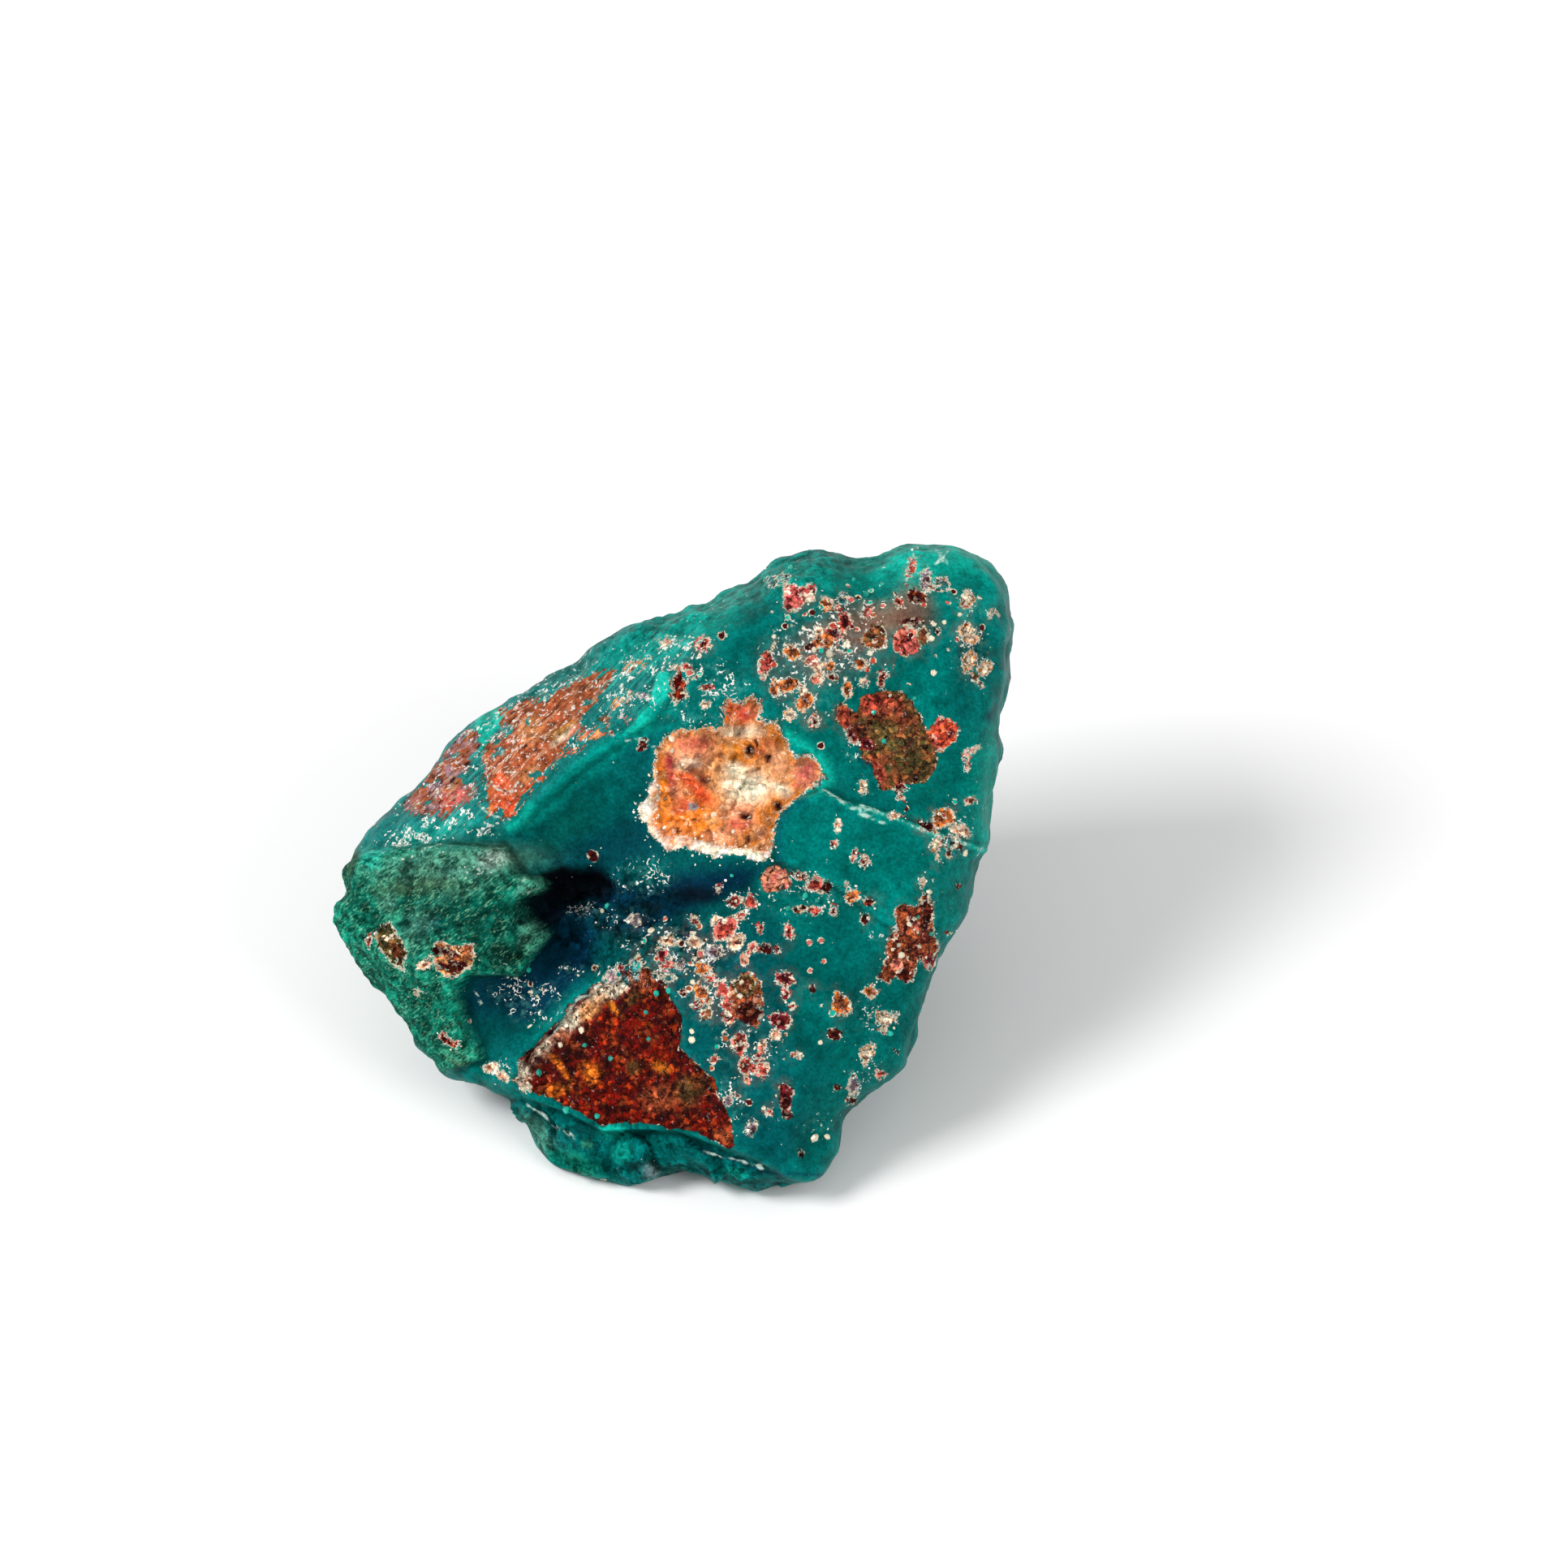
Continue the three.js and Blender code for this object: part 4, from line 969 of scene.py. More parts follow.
SPOTS = (
    Spots(Tint.BRICK, Tint.MAROON, 1.0, (
        (10.7, 16.9, .25, .25), (14.75, 17.3, .28, .3), (11.2, 16, .4, .6), (10.5, 15.3, .5, .4),
        (6.5, 14.5, .2, .2), (13.7, 12.3, .25, .55, -20), (10.4, 12.4, .3, .25), (9.3, 9.5, .35, .25),
        (11.7, 8.6, .35, .8, 30), (14.85, 4.6, .17, .4), (11.8, .85, .2, .25), (12.45, .35, .28, .28),
        (8.3, -.6, .5, .2, -20), (10.4, -3, .2, .3), (11.3, -1.4, .17, .25), (7.5, -4.3, .25, .4),
        (5.6, -4, .25, .28), (6.8, -5.4, .22, .22), (3.9, -2.3, .38, .32), (4.35, -11.6, .5, .7),
        (4.7, -13, .5, .55), (7.95, -12.35, .28, .28), (3.6, -9.9, .35, .3), (2.3, -8.9, .25, .25),
        (1.9, 14.5, .38, .42), (-9.8, 9.4, .17, .3), (-4, 8.8, .3, .3), (14.9, 5.1, .4, .3),
        (-20, -5, .22, .33), (-15.25, -11.35, .3, .28), (-14.7, -11.6, .32, .25))),
    Spots(Tint.PINK, Tint.BRICK, 0.9, (
        (12.6, 16.7, .3, .45), (15.6, 19.5, .25, .8, -15), (6, 13.4, .42, .9, -12), (12.8, 13, .22, .22),
        (14.45, 13.1, .15, .15), (19.1, 7, .2, .5, -10), (19.6, 7.65, .3, .15, 20), (10.4, 1.35, .2, .15),
        (9.2, -1.1, .55, .4), (5.2, -5.4, .35, .35), (4.9, -2.4, .4, .6), (4.3, -3.3, .4, .2),
        (9.4, -2.9, .3, .3), (7.8, -9.05, .22, .22), (5.3, -13.2, .3, .3), (5.8, -13.4, .3, .35),
        (2.7, -12.7, .3, .3), (6.2, -16.2, .3, .32), (3.2, -8.1, .4, .5), (3.5, -9.1, .35, .6),
        (2.3, -7.3, .35, .3), (-.55, -6.5, .4, .3), (3.3, -4.2, .6, .9, -40), (.8, 13, .3, .25),
        (2.1, 11.7, .4, .2), (-3.3, 9.6, .3, .2), (13.6, -13.7, .28, .2), (7.85, 5.25, .15, .15))),
    Spots(Tint.ORANGE, Tint.BROWN, 1.0, (
        (10, 17.3, .35, .42), (9.8, 14.8, .7, .5), (10.3, 13.1, .3, .3), (12.2, 13.3, .45, .4),
        (7.4, 11.8, .6, .5), (6.6, 11.6, .35, .5), (8, 11.9, .25, .25), (8.7, 10.7, .5, .6),
        (7.7, 14, .55, .45), (11.7, -1.9, .45, .4), (17.7, 3.2, .75, .5, 40), (10.9, -9, .6, .8, 20),
        (12.9, -8.3, .4, .5), (11.4, 11.5, .35, .5), (1.8, -8.3, .5, .5), (1.9, -6.7, .45, .4))),
    Spots(Tint.AMBER, Tint.CREAM, 1.0, (
        (19.3, 17.4, .5, .6), (18.8, 17.1, .2, .2), (19.1, 15.4, .4, .35), (19.5, 15, .5, .45),
        (19.3, 13.4, .45, .65), (20.4, 13.1, .35, .5, -30), (7.6, 9.9, .45, .3), (12.4, 5.25, .3, .45),
        (17.3, 1.3, .25, .8), (16.2, -1, .2, .25), (13.8, -9.9, .7, .3), (-2.6, 13.3, .4, .25),
        (-3.4, 11, .5, .25, 30), (4.3, -4.8, .3, .35), (12.6, -12.2, .45, .55))),
    Spots(Tint.CREAM, Tint.SALMON, 0.9, (
        (9.6, 15.4, .4, .25), (9.4, 13.1, .45, .3, -30), (9.6, 12.7, .35, .25), (8.4, 11.4, .3, .3),
        (19.35, 2.2, .28, .3), (18.6, 2.4, .5, .35), (12.5, 12.1, .25, .25), (12.55, -13, .25, .3),
        (-.3, -4.9, .6, .3), (2.7, -3.5, .3, .3), (1.2, -5.1, .5, .4), (4, -5, .5, .5), (.25, 13, .35, .3),
        (-.5, 14.8, .5, .3), (2, 10.6, .35, .25), (-17, -8.35, .25, .2), (21, 16.6, .3, .18),
        (14.5, 3.2, .4, .3), (6.6, -11.1, .35, .35), (-16.4, -6.4, .5, .2, 30), (10.65, 2.7, .2, .4),
        (-11.5, -14, .4, .3), (-12.2, -13.4, .4, .33), (-9.8, -14.6, .3, .3))),
    Spots(Tint.SALMON, Tint.PINK, 0.8, (
        (9, 13.6, .4, .4), (9.4, 12.2, .35, .4), (19.45, 4.2, .35, .25, 35), (4.6, -6, .3, .4),
        (5.8, -11.9, .3, .55, -15), (4.85, -14, .3, .3), (14.6, -6.4, .5, .4), (15.9, -4, .3, .3),
        (15.4, 15.4, .4, .25))),
    Spots(Tint.CRIMSON, Tint.MAROON, 0.8, (
        (12.6, 8, .4, .5, 40), (7.3, -7.4, .6, .5), (7.3, -8.4, .3, .3), (7, -10.2, .75, .6),
        (13.7, -10.8, .3, .35), (5.5, -12.45, .22, .25), (-.85, -5.9, .35, .45, 20), (1.3, -3.6, .28, .32),
        (.65, -8.35, .28, .25), (-3.5, -6.75, .28, .27), (1.6, -9, .4, .3), (1.35, 12.4, .25, .15),
        (2.9, -1.45, .2, .26), (16.8, -6.2, .3, .4))),
    Spots(Tint.MAROON, Tint.GARNET, 0.5, (
        (15.9, 17.7, .6, .5), (17.2, 15.5, .25, .25), (15.6, 16, .6, .3), (8.9, 14.5, .4, .3),
        (16.6, 2.6, .5, .4), (18.1, .65, .25, .2), (18.8, 1.3, .2, .25), (9.9, -1.5, .4, .4),
        (8.4, -2.7, .5, .25), (12.9, -2.2, .35, .3), (12.6, -3.4, .3, .35), (6, -5.3, .3, .35),
        (18.7, -1.35, .15, .15), (18, -4.4, .2, .2), (16.6, -3.2, .35, 1.1), (8.9, -8.05, .25, .25),
        (15.2, -7.1, .55, .4), (14.7, -12.2, .18, .15), (10.75, -14.5, .28, .22), (7.45, -16.4, .3, .35),
        (10.5, -11, .45, .4), (-5.1, -6.8, .3, .22), (3.1, 15.1, .32, .28), (1.6, -6, .35, .3),
        (-2.1, 8, .32, .5, -25), (6.75, 4, .25, .33), (5, 7.65, .35, .3), (6.2, 7.05, .2, .25),
        (4.7, 3.3, .35, .25), (4.8, 1.9, .2, .25), (1.3, 2.9, .22, .16), (.3, 2.2, .22, .16),
        (-15.6, -5.7, .4, .32), (-14.6, -5.7, .6, .28), (-14.4, -6.6, .75, .5), (-15.4, -6.6, .3, .3),
        (-.6, 4.4, .15, .2), (-9.2, 7.7, .15, .15), (9.5, 5.5, .12, .45, -50),
        (4.9, -9.6, .8, .8), (8.35, -18.9, .2, .25), (11.6, -15.5, .3, .3), (-5.3, .6, .35, .3))),
    Spots(Tint.TEAL_DARK, Tint.TEAL_GREY, 1.0, (
        (6.45, 18.65, .38, .38), (7.3, 18.95, .2, .2), (11.1, 17.5, .35, .4), (17.6, 18.6, .45, .4),
        (-3.3, -7.6, .4, .45), (-1.2, -7.2, .35, .3), (-.4, -7.3, .3, .3), (-2.5, -6.8, .35, .8),
        (18.2, 1.5, .5, .5), (-11.6, 7.5, .3, .25), (-11.1, 9, .3, .35), (11.1, 14.3, .3, .4))),
    Spots(Tint.GREY, Tint.MAUVE, 0.9, (
        (16.7, 18.8, .35, .6), (20.2, 11.9, .2, .2), (-4.2, -7.3, .38, .35), (.45, -6.6, .38, .42),
        (3.5, -15.5, .35, .35), (4.05, -15.2, .25, .2), (5.1, -17.2, .5, .35, 35), (-2.6, -3.5, .38, .35),
        (11.8, -14.4, .35, .6), (2.6, -5.6, .5, .35), (-2, 11.3, .3, .3), (1.2, 3.8, .35, .3))),
    Spots(Tint.OLIVE, Tint.BROWN, 0.6, (
        (16.3, 15, .35, .6), (19.8, 12.3, .25, .3), (2.25, -9.7, .35, .35), (-4.6, 9.5, .5, .4),
        (4.6, -7.8, .9, .7), (-18.4, -5.6, .4, .9, 20))))

# Where ringed specks crowd, and where pale frost lies: weight, centre, half widths and turn.
SPECKLE = (
    (.85, 10.5, 15.0, 5.2, 3.4, 15), (.6, 17, 15, 4.0, 3.4), (.6, 8.5, 10.4, 3.4, 1.6, -40),
    (.35, 15, 19.3, 3, 1.6), (.8, 1.2, -6.4, 4.6, 2.6, -20), (.6, 2.8, -10, 2.4, 3.6, -20),
    (.35, 8.6, -8, 3.4, 4.4), (.5, 17.5, 2.2, 2.2, 3.2), (.4, 1, 13.8, 2.6, 1.4, 30),
    (.12, -10, -9, 3, 1.6, 35), (.3, 15, -3, 3, 4), (.45, 5.6, -14, 2.4, 3))
FROST = (
    (1, -1.9, -.8, 2.1, 1.4), (1, -5.8, -3, 1.6, .6), (.8, -2.4, -5, 1.6, .7),
    (.7, -11.5, 8.8, 9.5, 3.6, 42), (1, -15.8, 2.3, 4.2, 1.3, 18), (.8, -12.4, 2.5, 1.2, .9),
    (.8, -13.6, -.4, 2, .5), (.8, -2.6, 12.2, 3, 2.2, 35), (.7, .3, 14.2, 2, 1.2),
    (.3, 2.2, 16.4, 3, .8, 30), (1, 3, 12.1, 2.2, 1.4, -20), (.9, 12, 7.2, .9, .5, -40), (.8, 1, 10, 2, .9),
    (.9, 9.6, 14.6, 3.8, 3, 20), (.7, 11.5, 17, 1, .6), (.7, 13.7, 17.1, .5, .5), (.7, 8.6, 10.8, 2, 1.6),
    (.6, 19.4, 14.6, 1.4, 3.2), (.5, 17.6, 20.4, .5, .4), (1, .4, -5.4, 3.8, 1.6, -12),
    (.9, -2.6, -7.3, 2.4, .9, -10), (.9, -6.9, -7, 1, .6), (1, -9.6, -8.8, 2.6, 1.6, -20),
    (.9, -11, -13.5, 1.3, .7, 30), (.7, 9.4, -17.1, 1.1, .9), (.7, 13.2, -4.5, .8, .5),
    (.7, 12.8, -9.5, 1, 2),
    (.8, 4.8, -11.8, 2.4, 2), (.7, 6.3, 9, 1, .7, 60), (.8, 3.4, -15.4, 2, 2), (.5, 18.5, 2, 1.6, 2),
    (.9, 2.7, -8.8, 1.4, 1.8), (.6, -6, 8.7, 1.6, .8, 30), (.7, -3.2, -3.6, 2.4, .8), (.6, 8.4, -2, 3, 1.4),
    (.5, 12.6, -13.4, 1.6, 1), (1, 4.4, 9.6, 2.4, .4))


# ---- the stone's surface --------------------------------------------------------------------------
@dataclass
class Surface:
    """The grown surface: points and cells, and how far each point belongs to the show side."""

    form: StoneForm
    points: Array
    squares: Array
    front: Array = field(init=False)
    behind: Array = field(init=False)
    bed: Array = field(init=False)

    def __post_init__(self) -> None:
        """Weights the show side against the hidden ones, and fades near the bed."""
        s, t, d = self.points.T
        self.front = ease(d - self.form.waist(s, t), -1.0, 1.0)
        self.behind = ease(self.form.waist(s, t) - d, 0.6, 4.0)
        self.bed = ease(self.form.show.bed_height(self.points), 0.0, 1.2)

    @property
    def s(self) -> Array:
        """Positions to the right."""
        return self.points[:, 0]

    @property
    def t(self) -> Array:
        """Positions up the show face."""
        return self.points[:, 1]


# Roughness of each area, in millimetres: rows of height, cell, octaves and seed.
ROUGH = {
    "everywhere": ((0.16, 5.0, 3, 11), (0.035, 0.9, 2, 12)), "hidden": ((0.24, 2.4, 3, 13),),
    "lump": ((0.5, 2.4, 3, 21), (0.16, 0.6, 2, 22)), "vug": ((0.34, 1.7, 3, 41),),
    "gully": ((0.12, 0.9, 2, 66),), "band": ((0.22, 2.2, 3, 71), (0.05, 0.7, 2, 72))}
# Flat chips of each area: rows of cell, slope and seed.
CHIPS = {"hidden": ((4.5, 0.11, 14),), "vug": ((1.9, 0.2, 42),), "gully": ((1.8, 0.3, 65),),
         "lobe": ((2.8, 0.26, 61), (1.0, 0.1, 63))}
# Pits in the vug's floor: centre, radius and depth.
VUG_PITS = (
    (5.0, 7.6, 0.3, 0.5), (6.2, 7.1, 0.28, 0.5), (6.7, 4.0, 0.3, 0.5), (4.6, 3.3, 0.28, 0.4),
    (4.7, 1.8, 0.25, 0.4), (1.7, 4.2, 0.5, 0.4), (3.2, 7.2, 0.25, 0.3), (0.9, 6.2, 0.25, 0.3),
    (2.2, 2.2, 0.22, 0.3))
BASIN_CRUST = Line(((-9.8, -13.6), (-8.6, -11.6), (-6.8, -9.6), (-4.6, -8.0), (-2.6, -7.0)))
GULLY = Oval(1.0, -4.6, -3.2, 3.4, 2.6, -10)
GULLY_AROUND = Oval(1.0, -4.5, -3.4, 8, 4.6, -15)
BAND_TILT = 0.35                 # slope of the top edge, beneath which the rough band lies


class Relief:
    """The broken surface: forms too small for the fracture planes, moved along the normals.

    Heights and depths are in millimetres.
    """

    widest_rough = 0.34          # roughness along the widest line
    lump_lift = 0.1
    tooth_lift = 0.25
    ridge_heights = (0.14, 0.07)  # of the streaked face's coarse and fine ridges
    basin_rough = 0.24
    basin_crust = 0.26
    patch_rough = 0.08
    spot_rim = 0.06
    spot_depth = 0.07
    crack_lift = 0.13
    finger_lift = 0.3

    def __init__(self, surface: Surface) -> None:
        """Starts from the grown surface, and keeps where its points lie on the show face."""
        self.surface = surface
        self.points = surface.points.copy()
        self.s, self.t = surface.s.copy(), surface.t.copy()

    def within(self, outline: Outline, soft: float = 0.5) -> Array:
        """Share of each point in an outlined area of the show side."""
        return self.surface.front * outline.cover(self.s, self.t, -soft, soft * 0.2)

    def near(self, line: Line | Outline, width: float) -> Array:
        """A bell across a line or an outline's edge."""
        return bell(line.distance(self.s, self.t), width)

    def rough(self, area: str) -> Array:
        """The area's roughness."""
        return sum(height * fractal(self.points, *noise_of) for height, *noise_of in ROUGH[area])

    def chips(self, area: str) -> Array:
        """The area's flat chips: each cell leans its own way, by a slope times the offset in it."""
        total = np.zeros(len(self.points))
        for cell, slope, seed in CHIPS[area]:
            _, offset, label = scattered(self.points, cell, seed)
            angle, rise = label * 2 * math.pi, noise(label[:, None] * np.array([91, 57, 33]), 1.0, seed)
            lean = np.stack([np.cos(angle), np.sin(angle), rise], axis=1)
            total += slope * (offset * lean).sum(axis=1)
        return total

    def grain(self, turn: float, lengths: tuple[float, float, float], seed: int) -> Array:
        """Noise drawn out along one direction of the show face: its widths along, across and into it."""
        drawn = np.column_stack([*turned(self.s, self.t, turn), self.points[:, 2]]) / np.array(lengths)
        return noise(drawn, 1.0, seed)

    def everywhere(self) -> Array:
        """Broad unevenness of the whole stone, rougher and chipped on the hidden sides."""
        hidden = self.surface.behind * (self.rough("hidden") + self.chips("hidden"))
        widest = self.near(self.surface.form.outline, 1.4)
        ragged = self.widest_rough * widest * fractal(self.points, 1.9, 3, 15)
        return self.rough("everywhere") + hidden + ragged

    def lump(self) -> Array:
        """The chalky lump: knobbly, with a granular skin."""
        teeth = sum(tooth.cover(self.s, self.t, -0.15, 0.1) for tooth in TEETH)
        knobs = self.within(LUMP, 0.6) * (self.rough("lump") + self.lump_lift)
        return knobs + self.tooth_lift * teeth * self.surface.front

    def streaks(self) -> Array:
        """The streaked face: fine ridges that run along it."""
        coarse = self.ridge_heights[0] * self.grain(40, (3.6, 0.7, 1.5), 31)
        fine = self.ridge_heights[1] * self.grain(42, (1.6, 0.3, 0.8), 32)
        return self.within(STREAKED_FACE, 0.6) * (coarse + fine)

    def vug(self) -> Array:
        """The vug: a lumpy floor with deep pits."""
        floor = self.rough("vug") + self.chips("vug")
        for centre_s, centre_t, radius, depth in VUG_PITS:
            floor -= depth * bell(np.hypot(self.s - centre_s, self.t - centre_t), radius)
        return self.within(VUG) * floor

    def basin(self) -> Array:
        """The ruby basin: a granular floor and a raised crust along its upper edge."""
        raised = self.basin_crust * self.near(BASIN_CRUST, 0.5) * self.surface.front
        return self.within(RUBY_BASIN) * self.basin_rough * fractal(self.points, 0.9, 3, 51) + raised

    def lobe(self) -> Array:
        """The bottom lobe: fractured into small flat facets."""
        return self.within(BOTTOM_LOBE) * self.chips("lobe")

    def gully(self) -> Array:
        """The dark gully between the lump and the middle of the face: broken into steps."""
        inside = GULLY.share(self.s, self.t) * self.surface.front
        return inside * (self.chips("gully") + self.rough("gully"))

    def band(self) -> Array:
        """The rough band along the top."""
        return self.surface.front * ease(self.t - BAND_TILT * self.s, 14.2, 16.0) * self.rough("band")

    def patches(self) -> Array:
        """Patches sunk a little and roughened, spots with a raised rim and a hollow core."""
        total = np.zeros(len(self.points))
        rough = fractal(self.points, 0.7, 2, 81)
        for patch in PATCHES:
            if patch.sink:
                floor = self.patch_rough * rough - patch.sink
                total += patch.outline.cover(self.s, self.t, -0.25, 0.1) * floor
        for kind in SPOTS:
            away, depth = kind.distance(self.s, self.t)
            total += self.spot_rim * kind.rim * bell(away, 0.12) - self.spot_depth * ease(depth, 0.1, 0.7)
        return total * self.surface.front

    def lines(self) -> Array:
        """The raised crack line and the bright finger at the head of the ridge."""
        finger = self.finger_lift * FINGER.cover(self.s, self.t, -0.3, 0.1)
        return (self.crack_lift * self.near(CRACK, 0.16) + finger) * self.surface.front

    def carve(self) -> Array:
        """The surface's points with all the relief, faded out at the bed so that the stone lies flat."""
        parts = (self.everywhere(), self.lump(), self.streaks(), self.vug(), self.basin(), self.lobe(),
                 self.gully(), self.band(), self.patches(), self.lines())
        normals = vertex_normals(self.points, self.surface.squares)
        moved = self.points + normals * (sum(parts) * self.surface.bed)[:, None]
        low = np.minimum(self.surface.form.show.bed_height(moved), 0)
        return moved - low[:, None] * self.surface.form.show.axes[:, 2]


# Clouds of colour on the hidden sides: cell, seed, where the noise starts and is full, weight and tint.
HIDDEN_WASHES = ((7, 111, 0.0, 0.35, 0.8, Tint.TEAL_DEEP), (9, 112, 0.1, 0.35, 0.9, Tint.CHALK_GREEN),
                 (4, 113, 0.2, 0.5, 0.6, Tint.TEAL_LIGHT))
FAR = 9.0                        # a distance beyond every edge, in millimetres
BRIGHTEST = 0.92                 # no channel of a patch goes beyond it


def paint(mesh: bpy.types.Mesh, name: str, colours: Array) -> None:
    """Gives each point of a mesh its colour in a new attribute."""
    layer = mesh.attributes.new(name, "FLOAT_COLOR", "POINT")
    layer.data.foreach_set("color", np.column_stack([colours, np.ones(len(colours))]).ravel())


class Coat:
    """What the surface's points are painted with: one value or colour a point for each attribute."""

    wander = 0.28                # how far the areas' edges stray, in millimetres
    stain_in_core = 0.6          # how much of a stain the patches' second colour takes
    vug_painted_light = 0.15            # painted light: how much brighter the vug is than its tints, against the shade of its hollow
    hidden_spacing = 6.5         # of the rusty patches on the hidden sides, in millimetres
    hidden_radius = 1.9
    hidden_ragged = 1.3
    hidden_shrink = 0.4
    side_gap = 6.0               # keeps the patches of the show side and the hidden sides apart
    crest_rounds = (1, 3, 8)     # rounds of smoothing that a crest is measured against
    crest_height = 0.042         # height of a full crest after one round, in millimetres

    def __init__(self, surface: Surface) -> None:
        """Measures the areas with their edges wandering a little, as natural boundaries do."""
        self.surface = surface
        self.s = surface.s + self.wander * fractal(surface.points, 1.3, 3, 101)
        self.t = surface.t + self.wander * fractal(surface.points, 1.3, 3, 102)
        self.colours: dict[str, Array] = {}
        self.values: dict[str, Array] = {}

    @staticmethod
    def wash(colours: Array, share: Array, tint: Tint) -> Array:
        """Lays a share of a tint over colours."""
        return colours * (1 - share[:, None]) + tint.rgb() * share[:, None]

    def body(self) -> None:
        """The silicate's colour: the show face's areas, and clouds of green and blue on the hidden sides."""
        surface = self.surface
        shown = np.tile(Tint.TEAL.rgb(), (len(self.s), 1))
        for area in BODY_WASHES:
            shown = self.wash(shown, area.share(self.s, self.t), area.tint)
        hidden = np.tile(Tint.TEAL.rgb(), (len(self.s), 1))
        for cell, seed, low, high, weight, tint in HIDDEN_WASHES:
            hidden = self.wash(hidden, ease(fractal(surface.points, cell, 3, seed), low, high) * weight, tint)
        front = surface.front[:, None]
        self.colours["body_tint"] = hidden * (1 - front) + shown * front

    def patches(self) -> None:
        """Colours of the nearest patch or spot, and the signed distance to its edge."""
        count = len(self.s)
        edge, rim, pits = np.full(count, FAR), np.zeros(count), np.zeros(count)
        tint, core = np.tile(Tint.RUST.rgb(), (count, 1)), np.tile(Tint.MAROON.rgb(), (count, 1))
        for patch in PATCHES:
            away = patch.outline.distance(self.s, self.t)
            near = away < edge
            edge, rim = np.where(near, away, edge), np.where(near, patch.rim, rim)
            pits = np.where(near, patch.pits, pits)
            tint[near], core[near] = patch.tint.rgb(), patch.core.rgb()
        for blot in STAINS:
            share = blot.share(self.s, self.t)
            tint = self.wash(tint, share, blot.tint)
            core = self.wash(core, share * self.stain_in_core, blot.tint)
        for kind in SPOTS:
            away, depth = kind.distance(self.s, self.t)
            near = (away < edge) | (away < 0)
            edge, rim = np.where(near, away, edge), np.where(near, kind.rim, rim)
            pits = np.where(near, 0.1, pits)
            share = ease(depth, 0.15, 0.6)[:, None]
            tint[near] = (kind.tint.rgb() * (1 - share) + kind.core.rgb() * share)[near]
            core[near] = (kind.tint.rgb() * (0.6 - 0.6 * share) + kind.core.rgb() * (0.4 + 0.6 * share))[near]
        # Painted light: the vug's colours are lifted against the shade of its hollow.
        bright = 1 + self.vug_painted_light * VUG.cover(self.s, self.t, 0.0, 0.8)[:, None]
        tint, core = np.minimum(tint * bright, BRIGHTEST), np.minimum(core * bright, BRIGHTEST)
        away, _, label = scattered(self.surface.points, self.hidden_spacing, 121)
        ragged = self.hidden_ragged * fractal(self.surface.points, 1.8, 3, 122)
        hidden = away - self.hidden_radius * label + ragged - self.hidden_shrink
        hidden = hidden + self.side_gap * self.surface.front
        shown = edge + self.side_gap * (1 - self.surface.front)
        near = hidden < shown
        tint[near & (label > 0.5)] = Tint.RUST.rgb()
        tint[near & (label <= 0.5)] = Tint.BRICK.rgb()
        core[near] = Tint.MAROON.rgb()
        self.values["patch_edge"] = np.minimum(hidden, shown)
        self.values["rim"] = np.where(near, 0.7, rim)
        self.values["pits"] = np.where(near, 0.5, pits)
        self.colours["patch_tint"], self.colours["patch_core"] = tint, core

    def doses(self) -> None:
        """How many ringed specks, how much frost and how much chalk lie at each point."""
        front = self.surface.front
        for name, rows in (("speckle", SPECKLE), ("frost", FROST)):
            shown = np.max([Oval(*row).share(self.s, self.t) for row in rows], axis=0)
            hidden = 0.3 * ease(fractal(self.surface.points, 5, 2, 131), 0.0, 0.5)
            self.values[name] = shown * front + hidden * (1 - front)
        self.values["chalk"] = front * LUMP.cover(self.s, self.t, -0.2, 0.2)
        self.values["streak"] = front * STREAKED_FACE.cover(self.s, self.t, -0.4, 0.4)
        top = ease(self.t - BAND_TILT * self.s, 13.5, 16.0)
        lobe = BOTTOM_LOBE.cover(self.s, self.t, -0.5, 0.5)
        gully = GULLY_AROUND.share(self.s, self.t)
        self.values["rugged"] = 1 - front * (1 - np.maximum.reduce(
            [0.8 * top, lobe, 0.8 * self.values["chalk"], gully, 0.15 * np.ones(len(front))]))
        near = np.minimum(VUG.distance(self.s, self.t), FRINGE.distance(self.s, self.t))
        self.values["clean"] = 1 - ease(near, -0.2, 0.2)
        lines = np.min([line.distance(self.s, self.t) for line in GLINTS], axis=0)
        self.values["glint"] = lines + FAR * (1 - front)

    def crests(self) -> None:
        """How far each point stands out from the middle of its neighbours: +1 on crests, -1 in creases."""
        # The finish paints light on the crests and shade in the creases with this value.
        points, squares = self.surface.points, self.surface.squares
        normals = vertex_normals(points, squares)
        count = np.bincount(squares.ravel(), minlength=len(points))
        total = np.zeros(len(points))
        for rounds in self.crest_rounds:
            smooth = points
            for _ in range(rounds):
                middles = smooth[squares].mean(axis=1)
                smooth = gathered(middles, squares, len(points)) / count[:, None]
            total += np.tanh(((points - smooth) * normals).sum(axis=1) / (self.crest_height * rounds ** 0.5))
        self.values["crest"] = np.clip(total / 2, -1, 1)

    def apply(self, mesh: bpy.types.Mesh) -> None:
        """Paints the mesh: every attribute, and each point's place in the show frame in millimetres."""
        self.body()
        self.patches()
        self.doses()
        self.crests()
        for name, colours in self.colours.items():
            paint(mesh, name, colours)
        for name, value in self.values.items():
            mesh.attributes.new(name, "FLOAT", "POINT").data.foreach_set("value", value)
        layer = mesh.attributes.new("show_at", "FLOAT_VECTOR", "POINT")
        layer.data.foreach_set("vector", self.surface.points.ravel())


